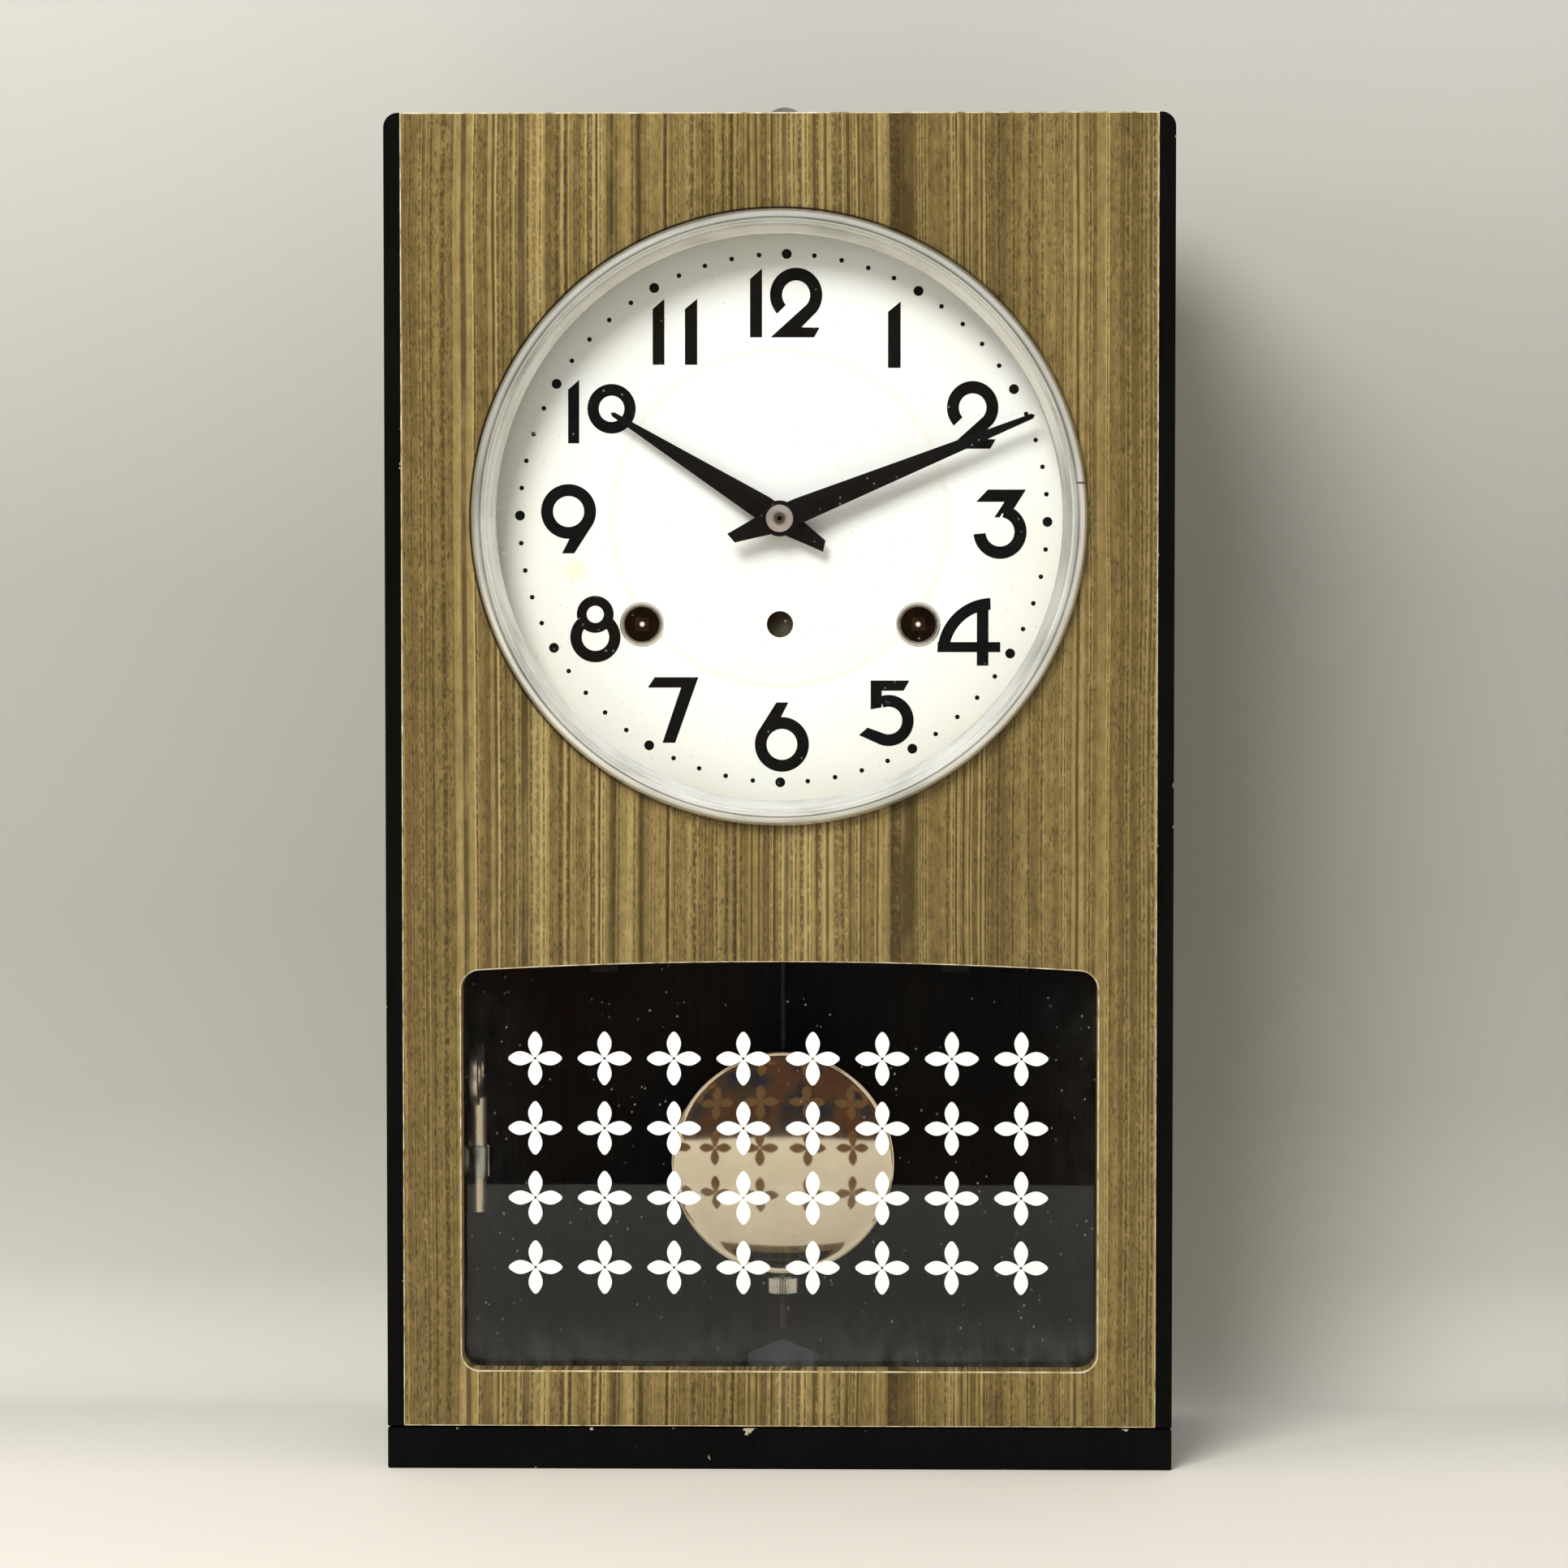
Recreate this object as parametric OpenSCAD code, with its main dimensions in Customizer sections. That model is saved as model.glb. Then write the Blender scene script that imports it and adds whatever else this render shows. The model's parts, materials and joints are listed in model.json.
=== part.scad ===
// Spring-driven wall clock with a full-height front door, a round dial and a pendulum window.
// X is right, Z is up and the front faces -Y. The origin is the middle of the case's bottom face.

/* [Case] */
// Width of the case
case_w = 267; // [255:1:300]
// Height of the case
case_h = 460; // [452:1:500]
// Depth of the wooden body, front of the door to the back board
case_d = 110; // [106:1:140]
// Thickness of the side boards
side_t = 9; // [7:0.5:12]
// Thickness of the top board
top_t = 12; // [8:0.5:16]
// Height of the base board below the door
base_h = 14; // [10:0.5:18]
// Thickness of the back board
back_t = 6; // [4:0.5:8]
// Radius of the two upper corners
corner_r = 5; // [3:0.5:8]

/* [Door] */
// Thickness of the door board
door_t = 12; // [10:0.5:14]
// Width of the dark strip on each side of the door
strip_w = 5.5; // [4.5:0.5:8]
// Gap under the door
door_gap = 0.6; // [0.4:0.1:1.5]
// Thickness of one hinge leaf
leaf_t = 0.8; // [0.6:0.1:1.2]
// Height of each hinge
hinge_len = 38; // [30:1:50]
// Radius of the hinge pins
hinge_pin_r = 0.8; // [0.6:0.1:0.9]
// Distance of each hinge from the door's end
hinge_inset = 34; // [28:1:50]

/* [Round opening and bezel] */
// Distance from the case's upper end down to the dial centre
dial_drop = 136.4; // [132:0.2:142]
// Visible radius inside the bezel
bezel_in_r = 95.6; // [94.6:0.1:96.4]
// Outer radius of the bezel
bezel_out_r = 103.9; // [102:0.1:107]
// How far the bezel stands out of the door
bezel_h = 5.6; // [4:0.2:8]
// Radius of the round opening in the door
dial_hole_r = 98.3; // [98.3:0.1:99]
// Thickness of both glasses
glass_t = 2; // [1.6:0.1:2.4]

/* [Pendulum window] */
// Width of the wood on each side of the window
win_margin = 25.5; // [24.5:0.1:38]
// Height of the window's lower edge above the bottom face
win_bottom = 33.7; // [28:0.1:38]
// Height of the window at its upper corners
win_h = 136.2; // [120:0.2:138]
// Rise of the arched upper edge
win_rise = 3.3; // [2:0.1:6]
// Radius of the window's corners
win_corner_r = 6; // [4:0.5:10]
// Overlap of the glass behind the board
glass_lap = 5; // [3:0.5:6]

/* [Dial] */
// Radius of the dial plate
dial_r = 101; // [100:0.5:103]
// Thickness of the dial plate
dial_t = 0.8; // [0.6:0.1:1.2]
// Sideways distance from the dial centre to each winding arbor
wind_x = 47.2; // [46:0.2:50]
// Drop from the dial centre to the winding arbors
wind_drop = 36; // [34:0.2:38]
// Bore radius of the winding eyelets
eyelet_r = 6; // [5.5:0.1:6.5]
// Rim width of the winding eyelets
eyelet_rim = 1.5; // [1:0.1:2]
// Radius of the plain hole below the centre
centre_hole_r = 4.5; // [3:0.1:6]

/* [Hands] */
// Length of the minute hand from its centre
minute_len = 93.4; // [80:0.2:94]
// Length of the hour hand from its centre
hour_len = 67.8; // [50:0.2:75]
// Width of both blades near the centre
blade_w = 8.6; // [6:0.1:10]
// Length of the short tails
tail_len = 18; // [10:0.5:22]
// Thickness of both hands
hand_t = 0.8; // [0.5:0.1:1]
// Angle of the minute hand, clockwise from twelve
minute_angle = 68; // [0:1:359]
// Angle of the hour hand, clockwise from twelve
hour_angle = 302; // [0:1:359]

/* [Movement] */
// Width of the movement plates
plate_w = 160; // [158:1:180]
// Height of the plates above the dial centre
plate_up = 64; // [62:1:70]
// Height of the plates below the dial centre
plate_down = 70; // [69:1:76]
// Thickness of the plates
plate_t = 1.8; // [1.4:0.1:2]
// Distance between the plates
plate_gap = 38; // [37:0.5:42]
// Room for the motion work between dial and front plate
motion_gap = 9.7; // [9.5:0.1:11]
// Tooth count of both great wheels
great_teeth = 78; // [76:1:80]
// Tooth size of the great wheels
great_m = 0.8; // [0.78:0.01:0.82]
// Tooth count of the wheels after the great wheels
second_teeth = 72; // [70:1:74]
// Tooth size of those wheels
second_m = 0.7; // [0.69:0.01:0.71]
// Tooth count of the centre and third wheels
fine_teeth = 90; // [86:1:92]
// Tooth size of the faster wheels
fine_m = 0.4; // [0.39:0.01:0.41]
// Tooth count of the strike pin wheel
pin_teeth = 80; // [76:1:84]
// Tooth count of the escape wheel
escape_teeth = 42; // [38:1:46]
// Tip radius of the escape wheel
escape_r = 15; // [14:0.1:15.2]
// Radius of the spring barrels
barrel_r = 25; // [23:0.5:25]
// Radius of the ratchet wheels
ratchet_r = 11; // [9:0.5:12]
// Radius of the wheel arbors
arbor_r = 1.5; // [1.3:0.1:1.7]
// Radius of the arbors' pivots in the plates
pivot_r = 1; // [0.8:0.1:1.1]
// Width across the winding squares
square_w = 4.6; // [4:0.1:5]

/* [Pendulum] */
// Height of the pendulum's pivot above the dial centre
pivot_up = 53; // [52.5:0.1:53.5]
// Height of the bob's centre above the bottom face
bob_z = 95.7; // [92:0.1:104]
// Radius of the bob
bob_r = 40.5; // [36:0.5:43]
// Thickness of the bob's rim
bob_t = 7; // [5:0.5:9]
// How far the bob's polished front bulges
bob_bulge = 2.3; // [1:0.1:3.5]
// Radius of the pendulum rod
rod_r = 1.5; // [1.2:0.1:1.8]
// Radius of the rating nut
nut_r = 5.5; // [4:0.1:7]
// Height of the rating nut
nut_h = 6.6; // [5:0.1:8]

/* [Key and fittings] */
// Length of the key's pipe
key_len = 40; // [34:1:46]
// Outer radius of the key's pipe
key_r = 3.4; // [3.2:0.1:3.8]
// Height of the key's lower end above the bottom face
key_z = 82; // [76:0.5:90]
// Radius of the hole in the hanger plate
hanger_hole_r = 3.5; // [3:0.1:4]
// How far the hanger plate stands above the case
hanger_up = 13; // [12:0.5:20]

/* [Hidden] */
$fn = 96;

// Running clearance round pivots and pipes, and clearance of seated pieces
run = 0.06;
seat = 0.1;
// Clearance of the pinions beyond their exact pitch distance
mesh_gap = 0.1;

// Levels from front to back
door_front = -case_d / 2;
door_back = door_front + door_t;
hinge_gap = 2 * leaf_t + 0.2;
case_front = door_back + hinge_gap;
back_face = case_d / 2;
back_inner = back_face - back_t;
inner_half = case_w / 2 - side_t;
dial_z = case_h - dial_drop;
win_w = case_w - 2 * win_margin;
door_bottom = base_h + door_gap;
groove = hinge_gap / 2 + 3.1;
hinge_mid = door_back + hinge_gap / 2;
knuckle_r = hinge_gap / 2 + 0.8;
hinge_x = -case_w / 2 + knuckle_r + 0.1;
dial_face = door_back + 4.5;
dial_back = dial_face + dial_t;
front_plate_y = dial_back + motion_gap;
inner_y = front_plate_y + plate_t;
back_plate_y = inner_y + plate_gap;
back_plate_end = back_plate_y + plate_t;

// Tooth counts of the pinions, and the motion work that turns the hour hand once in twelve
low_leaves = 12;
high_leaves = 10;
cannon_leaves = 14;
minute_teeth = 42;
motion_leaves = 12;
hour_teeth = 48;
cannon_m = 0.6;
motion_dist = (cannon_leaves + minute_teeth) * cannon_m / 2 + mesh_gap;
hour_m = 2 * (motion_dist - mesh_gap) / (motion_leaves + hour_teeth);

// Arbor positions, sideways and up from the dial centre
centre_pos = [0, 0];
going_pos = [wind_x, -wind_drop];
strike_pos = [-wind_x, -wind_drop];
great_dist = pitch_dist(great_teeth, low_leaves, great_m);
second_dist = pitch_dist(second_teeth, low_leaves, second_m);
fine_dist = pitch_dist(fine_teeth, high_leaves, fine_m);
intermediate_pos = meeting(going_pos, great_dist, centre_pos, second_dist);
escape_pos = [0, 34];
third_pos = meeting(escape_pos, fine_dist, centre_pos, fine_dist);
strike_second_pos = strike_pos + polar(great_dist, 75);
pin_wheel_pos = strike_second_pos + polar(pitch_dist(second_teeth, high_leaves, second_m), 62);
fly_pos = pin_wheel_pos + polar(pitch_dist(pin_teeth, high_leaves, fine_m), 110);
hammer_pos = [-52, 24];
minute_wheel_pos = polar(motion_dist, 150);
pivot_pos = [0, pivot_up];

// Layers of the wheels behind the front plate
second_y = inner_y + 3;
great_y = inner_y + 8;
pin_y = inner_y + 9;
centre_y = inner_y + 13;
third_y = inner_y + 18;
escape_y = inner_y + 24;
wheel_t = 1.3;
great_t = 2.5;
barrel_end = inner_y + 35;

// Hand levels in front of the dial
hour_pipe_r = 3.4;
cannon_r = 2.5;
hour_y = dial_face - 4.6;
minute_y = hour_y - 2.8;
centre_tip = minute_y - 3.4;

// Pendulum levels
pendulum_y = back_plate_end + 8.4;
axis_z = dial_z + pivot_up;
rod_top = axis_z - 12;
rod_end = bob_z - bob_r - nut_h - 12.5;
nut_z = bob_z - bob_r - 0.3 - nut_h;

// Key and clip on the left wall
key_x = -case_w / 2 + 27;
key_y = case_front + 32;
clip_z = key_z + 12;
clip_h = 11;
clip_t = 1;

plate_corners = [for (x = [-1, 1], z = [-plate_down + 6, plate_up - 6]) [x * (plate_w / 2 - 6), z]];
feet_pos = [[-50, plate_up - 14], [50, plate_up - 14], [-20, -plate_down + 6], [20, -plate_down + 6]];
hinge_levels = [door_bottom + hinge_inset, case_h - hinge_inset - hinge_len];
bracket_x = 34;
bracket_low = -62;
bracket_high = 10;
bracket_flange = 14;
bracket_t = 2;
screw_r = 1.6;

function polar(r, a) = [r * cos(a), r * sin(a)];
function heading(p, q) = atan2(q[1] - p[1], q[0] - p[0]);
function pitch_dist(n1, n2, m) = (n1 + n2) * m / 2 + mesh_gap;

// The point at distance a from p and b from q, on the upper right of the line between them
function meeting(p, a, q, b) = let (
    d = norm(p - q),
    along = (b * b - a * a + d * d) / (2 * d),
    off = sqrt(b * b - along * along),
    u = (p - q) / d
) q + along * u + off * [-u[1], u[0]] * (u[0] >= 0 && u[1] < 0.5 ? 1 : -1);

// Tooth outline: half widths as shares of the pitch, heights in tooth sizes
function teeth(n, m, root_half, tip_half, add, ded) = [
    for (i = [0:n - 1], c = [[-ded, -root_half], [add, -tip_half], [add, tip_half], [-ded, root_half]])
        polar(n * m / 2 + c[0] * m, (i + c[1]) * 360 / n)
];
function wheel_teeth(n, m) = teeth(n, m, 0.44, 0.15, 0.75, 1.1);
function pinion_teeth(n, m) = teeth(n, m, 0.3, 0.12, 0.5, 1.15);

// A flat shape drawn in X and Z, from y0 back by t
module slab(y0, t) {
    translate([0, y0 + t, 0]) rotate([90, 0, 0]) linear_extrude(t) children();
}

// A round bar along Y, at a place measured from the dial centre
module bar(pos, r, y0, y1) {
    translate([pos[0], y1, dial_z + pos[1]]) rotate([90, 0, 0]) cylinder(r = r, h = y1 - y0);
}

module at_dial(pos) {
    translate([pos[0], 0, dial_z + pos[1]]) children();
}

// A wheel whose tooth points towards an angle
module wheel(pos, n, m, angle, y0, t = wheel_t) {
    at_dial(pos) slab(y0, t) rotate(angle) polygon(wheel_teeth(n, m));
}

// A pinion whose gap points towards the wheel at an angle
module pinion(pos, n, m, angle, y0, t) {
    at_dial(pos) slab(y0, t) rotate(angle + 180 / n) polygon(pinion_teeth(n, m));
}

// An arbor between the plates, with a pivot in each
module arbor(pos, y0 = inner_y + 0.5, y1 = back_plate_y - 0.5) {
    bar(pos, arbor_r, y0, y1);
    bar(pos, pivot_r, front_plate_y, back_plate_end);
}

module case_outline() {
    half = case_w / 2;
    translate([-half, base_h]) square([case_w, case_h - base_h - corner_r]);
    translate([-half + corner_r, base_h]) square([case_w - 2 * corner_r, case_h - base_h]);
    for (s = [-1, 1]) translate([s * (half - corner_r), case_h - corner_r]) circle(corner_r);
}

module base_board() {
    color("#16150f") translate([-case_w / 2, door_front, 0]) cube([case_w, case_d, base_h]);
}

// The side board's front corner is cut back to make room for the hinge knuckles
module side_board() {
    color("#1c1b18") intersection() {
        slab(case_front, back_inner - case_front) case_outline();
        translate([-case_w / 2, case_front, base_h]) linear_extrude(case_h - base_h)
            polygon([[0, groove], [groove, 0], [side_t, 0],
                [side_t, back_inner - case_front], [0, back_inner - case_front]]);
    }
}

module side_board_left() {
    side_board();
}

module side_board_right() {
    mirror([1, 0, 0]) side_board();
}

module top_board() {
    color("#1c1b18") translate([-inner_half, case_front, case_h - top_t])
        cube([2 * inner_half, back_inner - case_front, top_t]);
}

module back_board() {
    color("#6b5338") difference() {
        slab(back_inner, back_t) case_outline();
        for (z = hanger_screw_z) bar([0, z - dial_z], screw_r, back_inner - 1, back_face + 1);
        for (p = bracket_screw_pos) bar(p, screw_r, back_inner - 1, back_face + 1);
    }
}

hanger_w = 16;
hanger_t = 2;
hanger_reach = 46;
hanger_screw_drops = [38, 20];
hanger_screw_z = [for (drop = hanger_screw_drops) case_h - drop];
bracket_screw_in = 12;
bracket_screw_side = 6;
bracket_screw_pos = [for (s = [-1, 1], z = [bracket_low + bracket_screw_in, bracket_high - bracket_screw_in])
    [s * (bracket_x + bracket_flange - bracket_screw_side), z]];

module hanger_plate() {
    color("#8d8f8c") difference() {
        slab(back_face, hanger_t) {
            translate([-hanger_w / 2, case_h - hanger_reach])
                square([hanger_w, hanger_reach + hanger_up - hanger_w / 2]);
            translate([0, case_h + hanger_up - hanger_w / 2]) circle(hanger_w / 2);
        }
        bar([0, case_h + hanger_up - hanger_w / 2 - dial_z], hanger_hole_r, back_face - 1, back_face + 4);
        for (z = hanger_screw_z) bar([0, z - dial_z], screw_r, back_face - 1, back_face + 4);
    }
}

// Channel-shaped brackets that carry the movement on the back board
module movement_brackets() {
    deep = back_inner - back_plate_end;
    color("#7c7f80") for (s = [0, 1]) mirror([s, 0, 0]) difference() {
        translate([bracket_x, back_plate_end, dial_z + bracket_low]) linear_extrude(bracket_high - bracket_low)
            difference() {
                square([bracket_flange, deep]);
                translate([bracket_t, bracket_t]) square([bracket_flange, deep - 2 * bracket_t]);
            }
        for (z = [bracket_low + bracket_screw_in, bracket_high - bracket_screw_in])
            bar([bracket_x + bracket_flange - bracket_screw_side, z], screw_r, back_plate_end - 1, back_face);
    }
}

// Round-headed screw along Y with its head towards -Y, or towards +Y when flipped
module screw(pos, y0, len, flip = false) {
    head = 1.6;
    bar(pos, screw_r - seat / 2, flip ? y0 - len : y0, flip ? y0 : y0 + len);
    bar(pos, 2 * screw_r, flip ? y0 : y0 - head, flip ? y0 + head : y0);
}

module bracket_screws() {
    color("#a8a59a") {
        for (p = bracket_screw_pos) {
            screw(p, back_inner - bracket_t, bracket_t + back_t);
            screw(p, back_plate_end + bracket_t, bracket_t + plate_t, true);
        }
        for (z = hanger_screw_z) screw([0, z - dial_z], back_face + hanger_t, hanger_t + back_t, true);
    }
}

knuckles = 3;
knuckle_len = hinge_len / knuckles;

// One hinge leaf: its plate lies in the gap, its knuckles are every second one from first
module leaf(first, y0) {
    color("#b9a878") for (z = hinge_levels) translate([hinge_x, 0, z]) difference() {
        union() {
            for (k = [0:knuckles - 1]) {
                own = k % 2 == first;
                edge = own ? 0 : knuckle_r + 0.3;
                low = k * knuckle_len + (own ? 0.15 : 0);
                tall = knuckle_len - (own ? 0.3 : 0);
                if (own) translate([0, hinge_mid, low]) cylinder(r = knuckle_r, h = tall);
                translate([edge, y0, k * knuckle_len])
                    cube([side_t - knuckle_r - 0.4 - edge, leaf_t, knuckle_len]);
                if (own) translate([edge, y0, low]) cube([2, leaf_t, tall]);
            }
        }
        translate([0, hinge_mid, -1]) cylinder(r = hinge_pin_r + run, h = hinge_len + 2);
        for (k = [0:knuckles - 1]) if (k % 2 != first)
            translate([0, hinge_mid, k * knuckle_len - 0.15])
                cylinder(r = knuckle_r + 0.3, h = knuckle_len + 0.3);
    }
}

module case_hinge_leaves() {
    leaf(0, case_front - leaf_t);
}

module door_hinge_leaves() {
    leaf(1, door_back);
}

module hinge_pins() {
    color("#c9c4b4") for (z = hinge_levels) translate([hinge_x, hinge_mid, z - 0.5]) {
        cylinder(r = hinge_pin_r, h = hinge_len + 1);
        translate([0, 0, -0.8]) cylinder(r = hinge_pin_r + 0.5, h = 0.8);
        translate([0, 0, hinge_len + 1]) cylinder(r = hinge_pin_r + 0.5, h = 0.8);
    }
}

catch_w = 12;
catch_len = 34;
catch_z = 230;

module catch_magnet() {
    color("#3a3a3c") translate([inner_half - catch_w, case_front, catch_z]) cube([catch_w, 14, catch_len]);
}

module catch_plate() {
    color("#9a9c9c") translate([inner_half - catch_w + 1, door_back, catch_z + 2])
        cube([catch_w - 2, hinge_gap - 0.3, catch_len - 4]);
}

// A sprung ring round the key's pipe, on a stem from the left wall
module key_clip() {
    gap = 4;
    color("#8f9190") difference() {
        union() {
            translate([key_x, key_y, clip_z]) cylinder(r = key_r + seat + clip_t, h = clip_h);
            translate([-inner_half, key_y - clip_t / 2, clip_z])
                cube([key_x + inner_half - key_r, clip_t, clip_h]);
            translate([-inner_half, key_y - 7, clip_z]) cube([clip_t, 14, clip_h]);
        }
        translate([key_x, key_y, clip_z - 1]) cylinder(r = key_r + seat, h = clip_h + 2);
        translate([key_x, key_y - gap / 2, clip_z - 1]) cube([key_r + 2 * clip_t + 1, gap, clip_h + 2]);
    }
}

// The key hangs wing up in its clip, edge on to the front, and its square hole opens downwards
module winding_key() {
    wing = [34, 2.6, 20];
    color("#b08d7a") translate([key_x, key_y, key_z]) difference() {
        union() {
            cylinder(r = key_r, h = key_len);
            translate([-wing[1] / 2, 0, key_len + wing[2] / 2 - 2]) rotate([90, 0, 90]) linear_extrude(wing[1])
                difference() {
                    union() {
                        for (s = [-1, 1]) translate([s * (wing[0] - wing[2]) / 2, 0]) circle(wing[2] / 2);
                        square([wing[0] - wing[2], wing[2] * 0.7], center = true);
                    }
                    for (s = [-1, 1]) translate([s * (wing[0] - wing[2]) / 2, 0]) circle(wing[2] / 4);
                }
        }
        translate([-square_w / 2 - seat, -square_w / 2 - seat, -1])
            cube([square_w + 2 * seat, square_w + 2 * seat, 13]);
    }
}

// The pointed plate below the rod's end, on a foot that lies on the base board
module beat_plate() {
    w = 25;
    color("#7d8a96") translate([0, pendulum_y, base_h]) {
        rotate([90, 0, 0]) translate([0, 0, -0.6]) linear_extrude(1.2)
            polygon([[-w / 2, 0], [w / 2, 0], [w / 2, 12.9], [0, 18.1], [-w / 2, 12.9]]);
        translate([-w / 2, 0, 0]) cube([w, 10, 1.2]);
    }
}

// Gong: a block on the back board with two rods that hang from holes in it
gong_x = -60;
gong_block_w = 24;
gong_block_h = 22;
gong_below_top = 40.4;
gong_r = 1.5;
gong_rod_len = 182;
gong_seat = 12;
gong_rod_gap = 3;
gong_y = back_inner - 13;
gong_block_z = case_h - top_t - gong_below_top - gong_block_h;

module gong_block() {
    color("#2c2c2e") difference() {
        translate([gong_x - gong_block_w / 2, gong_y - 8, gong_block_z])
            cube([gong_block_w, back_inner - gong_y + 8, gong_block_h]);
        for (s = [-1, 1]) translate([gong_x, gong_y + s * gong_rod_gap, gong_block_z - 1])
            cylinder(r = gong_r + 0.02, h = gong_seat + 1);
    }
}

module gong_rods() {
    color("#6f7275") for (s = [-1, 1])
        translate([gong_x, gong_y + s * gong_rod_gap, gong_block_z + gong_seat - gong_rod_len])
            cylinder(r = gong_r, h = gong_rod_len);
}

all_pivots = [centre_pos, intermediate_pos, third_pos, escape_pos, pivot_pos, strike_second_pos,
    pin_wheel_pos, fly_pos, hammer_pos];

module plate_blank(y0) {
    translate([-plate_w / 2, y0, dial_z - plate_down]) cube([plate_w, plate_t, plate_up + plate_down]);
}

// Holes of the arbors that turn in small pivots
module pivot_holes(y0) {
    for (p = [intermediate_pos, third_pos, escape_pos, strike_second_pos, pin_wheel_pos, fly_pos])
        bar(p, pivot_r + run, y0 - 1, y0 + plate_t + 1);
    for (p = [going_pos, strike_pos]) bar(p, barrel_arbor_r + run, y0 - 1, y0 + plate_t + 1);
    bar(centre_pos, arbor_r + run, y0 - 1, y0 + plate_t + 1);
    for (p = plate_corners) bar(p, pillar_pin_r + seat / 2, y0 - 1, y0 + plate_t + 1);
}

barrel_arbor_r = 3.5;
pillar_r = 4;
pillar_pin_r = 2.2;
nut_t = 2.4;
click_pos = polar(ratchet_r + 9, 120);

module front_plate() {
    color("#a08a4e") {
        difference() {
            plate_blank(front_plate_y);
            pivot_holes(front_plate_y);
            for (p = [pivot_pos, hammer_pos]) bar(p, pivot_r + run, front_plate_y - 1, inner_y + 1);
            for (p = feet_pos) bar(p, foot_r + seat / 2, front_plate_y - 1, inner_y + 1);
        }
        bar(minute_wheel_pos, stud_r, dial_back + 0.5, front_plate_y);
        for (s = [-1, 1]) bar([s * going_pos[0] + click_pos[0], going_pos[1] + click_pos[1]], stud_r,
            front_plate_y - 2.6, front_plate_y);
    }
}

stud_r = 1.2;
foot_r = 1.5;
crutch_hole_r = 5;

module back_plate() {
    color("#a08a4e") difference() {
        plate_blank(back_plate_y);
        pivot_holes(back_plate_y);
        bar(pivot_pos, crutch_hole_r, back_plate_y - 1, back_plate_end + 1);
        bar(hammer_pos, arbor_r + run, back_plate_y - 1, back_plate_end + 1);
        for (p = bracket_screw_pos) bar(p, screw_r, back_plate_y - 1, back_plate_end + 1);
        for (p = cock_screw_pos) bar(p, screw_r, back_plate_y - 1, back_plate_end + 1);
    }
}

module pillars() {
    color("#b39a58") for (p = plate_corners) {
        bar(p, pillar_r, inner_y, back_plate_y);
        bar(p, pillar_pin_r, front_plate_y - nut_t - 0.4, back_plate_end + nut_t + 0.4);
    }
}

module pillar_nuts() {
    color("#8f9190") for (p = plate_corners, y = [front_plate_y - nut_t, back_plate_end]) difference() {
        at_dial(p) slab(y, nut_t) circle(r = 4.4, $fn = 6);
        bar(p, pillar_pin_r + seat / 2, y - 1, y + nut_t + 1);
    }
}

module dial_plate() {
    color("#ecebe0") difference() {
        bar(centre_pos, dial_r, dial_face, dial_back);
        bar(centre_pos, hour_pipe_r + 0.6, dial_face - 1, dial_back + 1);
        bar([0, -wind_drop], centre_hole_r, dial_face - 1, dial_back + 1);
        for (p = [going_pos, strike_pos]) bar(p, eyelet_r + 0.9 + seat / 2, dial_face - 1, dial_back + 1);
    }
}

module dial_feet() {
    color("#a08a4e") for (p = feet_pos) {
        bar(p, foot_r + 1, dial_back, front_plate_y);
        bar(p, foot_r, front_plate_y, inner_y + 1);
    }
}

module winding_eyelets() {
    color("#b9b6ad") for (p = [going_pos, strike_pos]) difference() {
        union() {
            bar(p, eyelet_r + eyelet_rim, dial_face - 0.7, dial_face);
            bar(p, eyelet_r + 0.9, dial_face, dial_back + 0.6);
        }
        bar(p, eyelet_r, dial_face - 2, dial_back + 2);
    }
}

// Bracket on the back plate: two cheeks hold the slotted block that the pendulum hangs from
cock_w = 24;
cock_low = 4;
cock_h = 4.5;
cock_screw_pos = [[-9, plate_up - 4.5], [9, plate_up - 4.5]];
slot_half = 0.6;

module back_cock() {
    color("#a08a4e") {
        difference() {
            union() {
                translate([-cock_w / 2, back_plate_end, axis_z + cock_low])
                    cube([cock_w, 2, plate_up - pivot_up - cock_low - 1]);
                translate([-4, back_plate_end, axis_z + cock_low])
                    cube([8, pendulum_y - back_plate_end + 5, cock_h]);
            }
            translate([-slot_half, pendulum_y - 3.5, axis_z]) cube([2 * slot_half, 20, 12]);
            for (p = cock_screw_pos) bar(p, screw_r, back_plate_end - 1, back_plate_end + 4);
        }
        for (p = cock_screw_pos) screw(p, back_plate_end + 2, 2 + plate_t, true);
    }
}

// Window outline: straight sides, rounded corners and a low arch on top
module window_outline(grow = 0) {
    r = win_corner_r;
    side = win_w / 2 + grow - r;
    low = win_bottom - grow + r;
    high = win_bottom + win_h + grow;
    steps = 24;
    polygon(concat(
        [for (a = [180:15:270]) [-side, low] + polar(r, a)],
        [for (a = [270:15:360]) [side, low] + polar(r, a)],
        [for (a = [0:15:75]) [side, high - r] + polar(r, a)],
        [for (i = [0:steps]) let (x = side * (1 - 2 * i / steps))
            [x, high + win_rise * (1 - pow(x / side, 2))]],
        [for (a = [105:15:180]) [-side, high - r] + polar(r, a)]));
}

door_w = case_w - 2 * strip_w;

module door_board() {
    color("#8c7a5a") difference() {
        translate([-door_w / 2, door_front, door_bottom]) cube([door_w, door_t, case_h - door_bottom]);
        bar(centre_pos, dial_hole_r, door_front - 1, door_back + 1);
        slab(door_front - 1, door_t + 2) window_outline();
        slab(door_back - glass_t - seat, glass_t + 1) window_outline(glass_lap + seat);
    }
}

module strip_outline() {
    intersection() {
        case_outline();
        translate([-case_w / 2, door_bottom]) square([strip_w, case_h]);
    }
}

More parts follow.
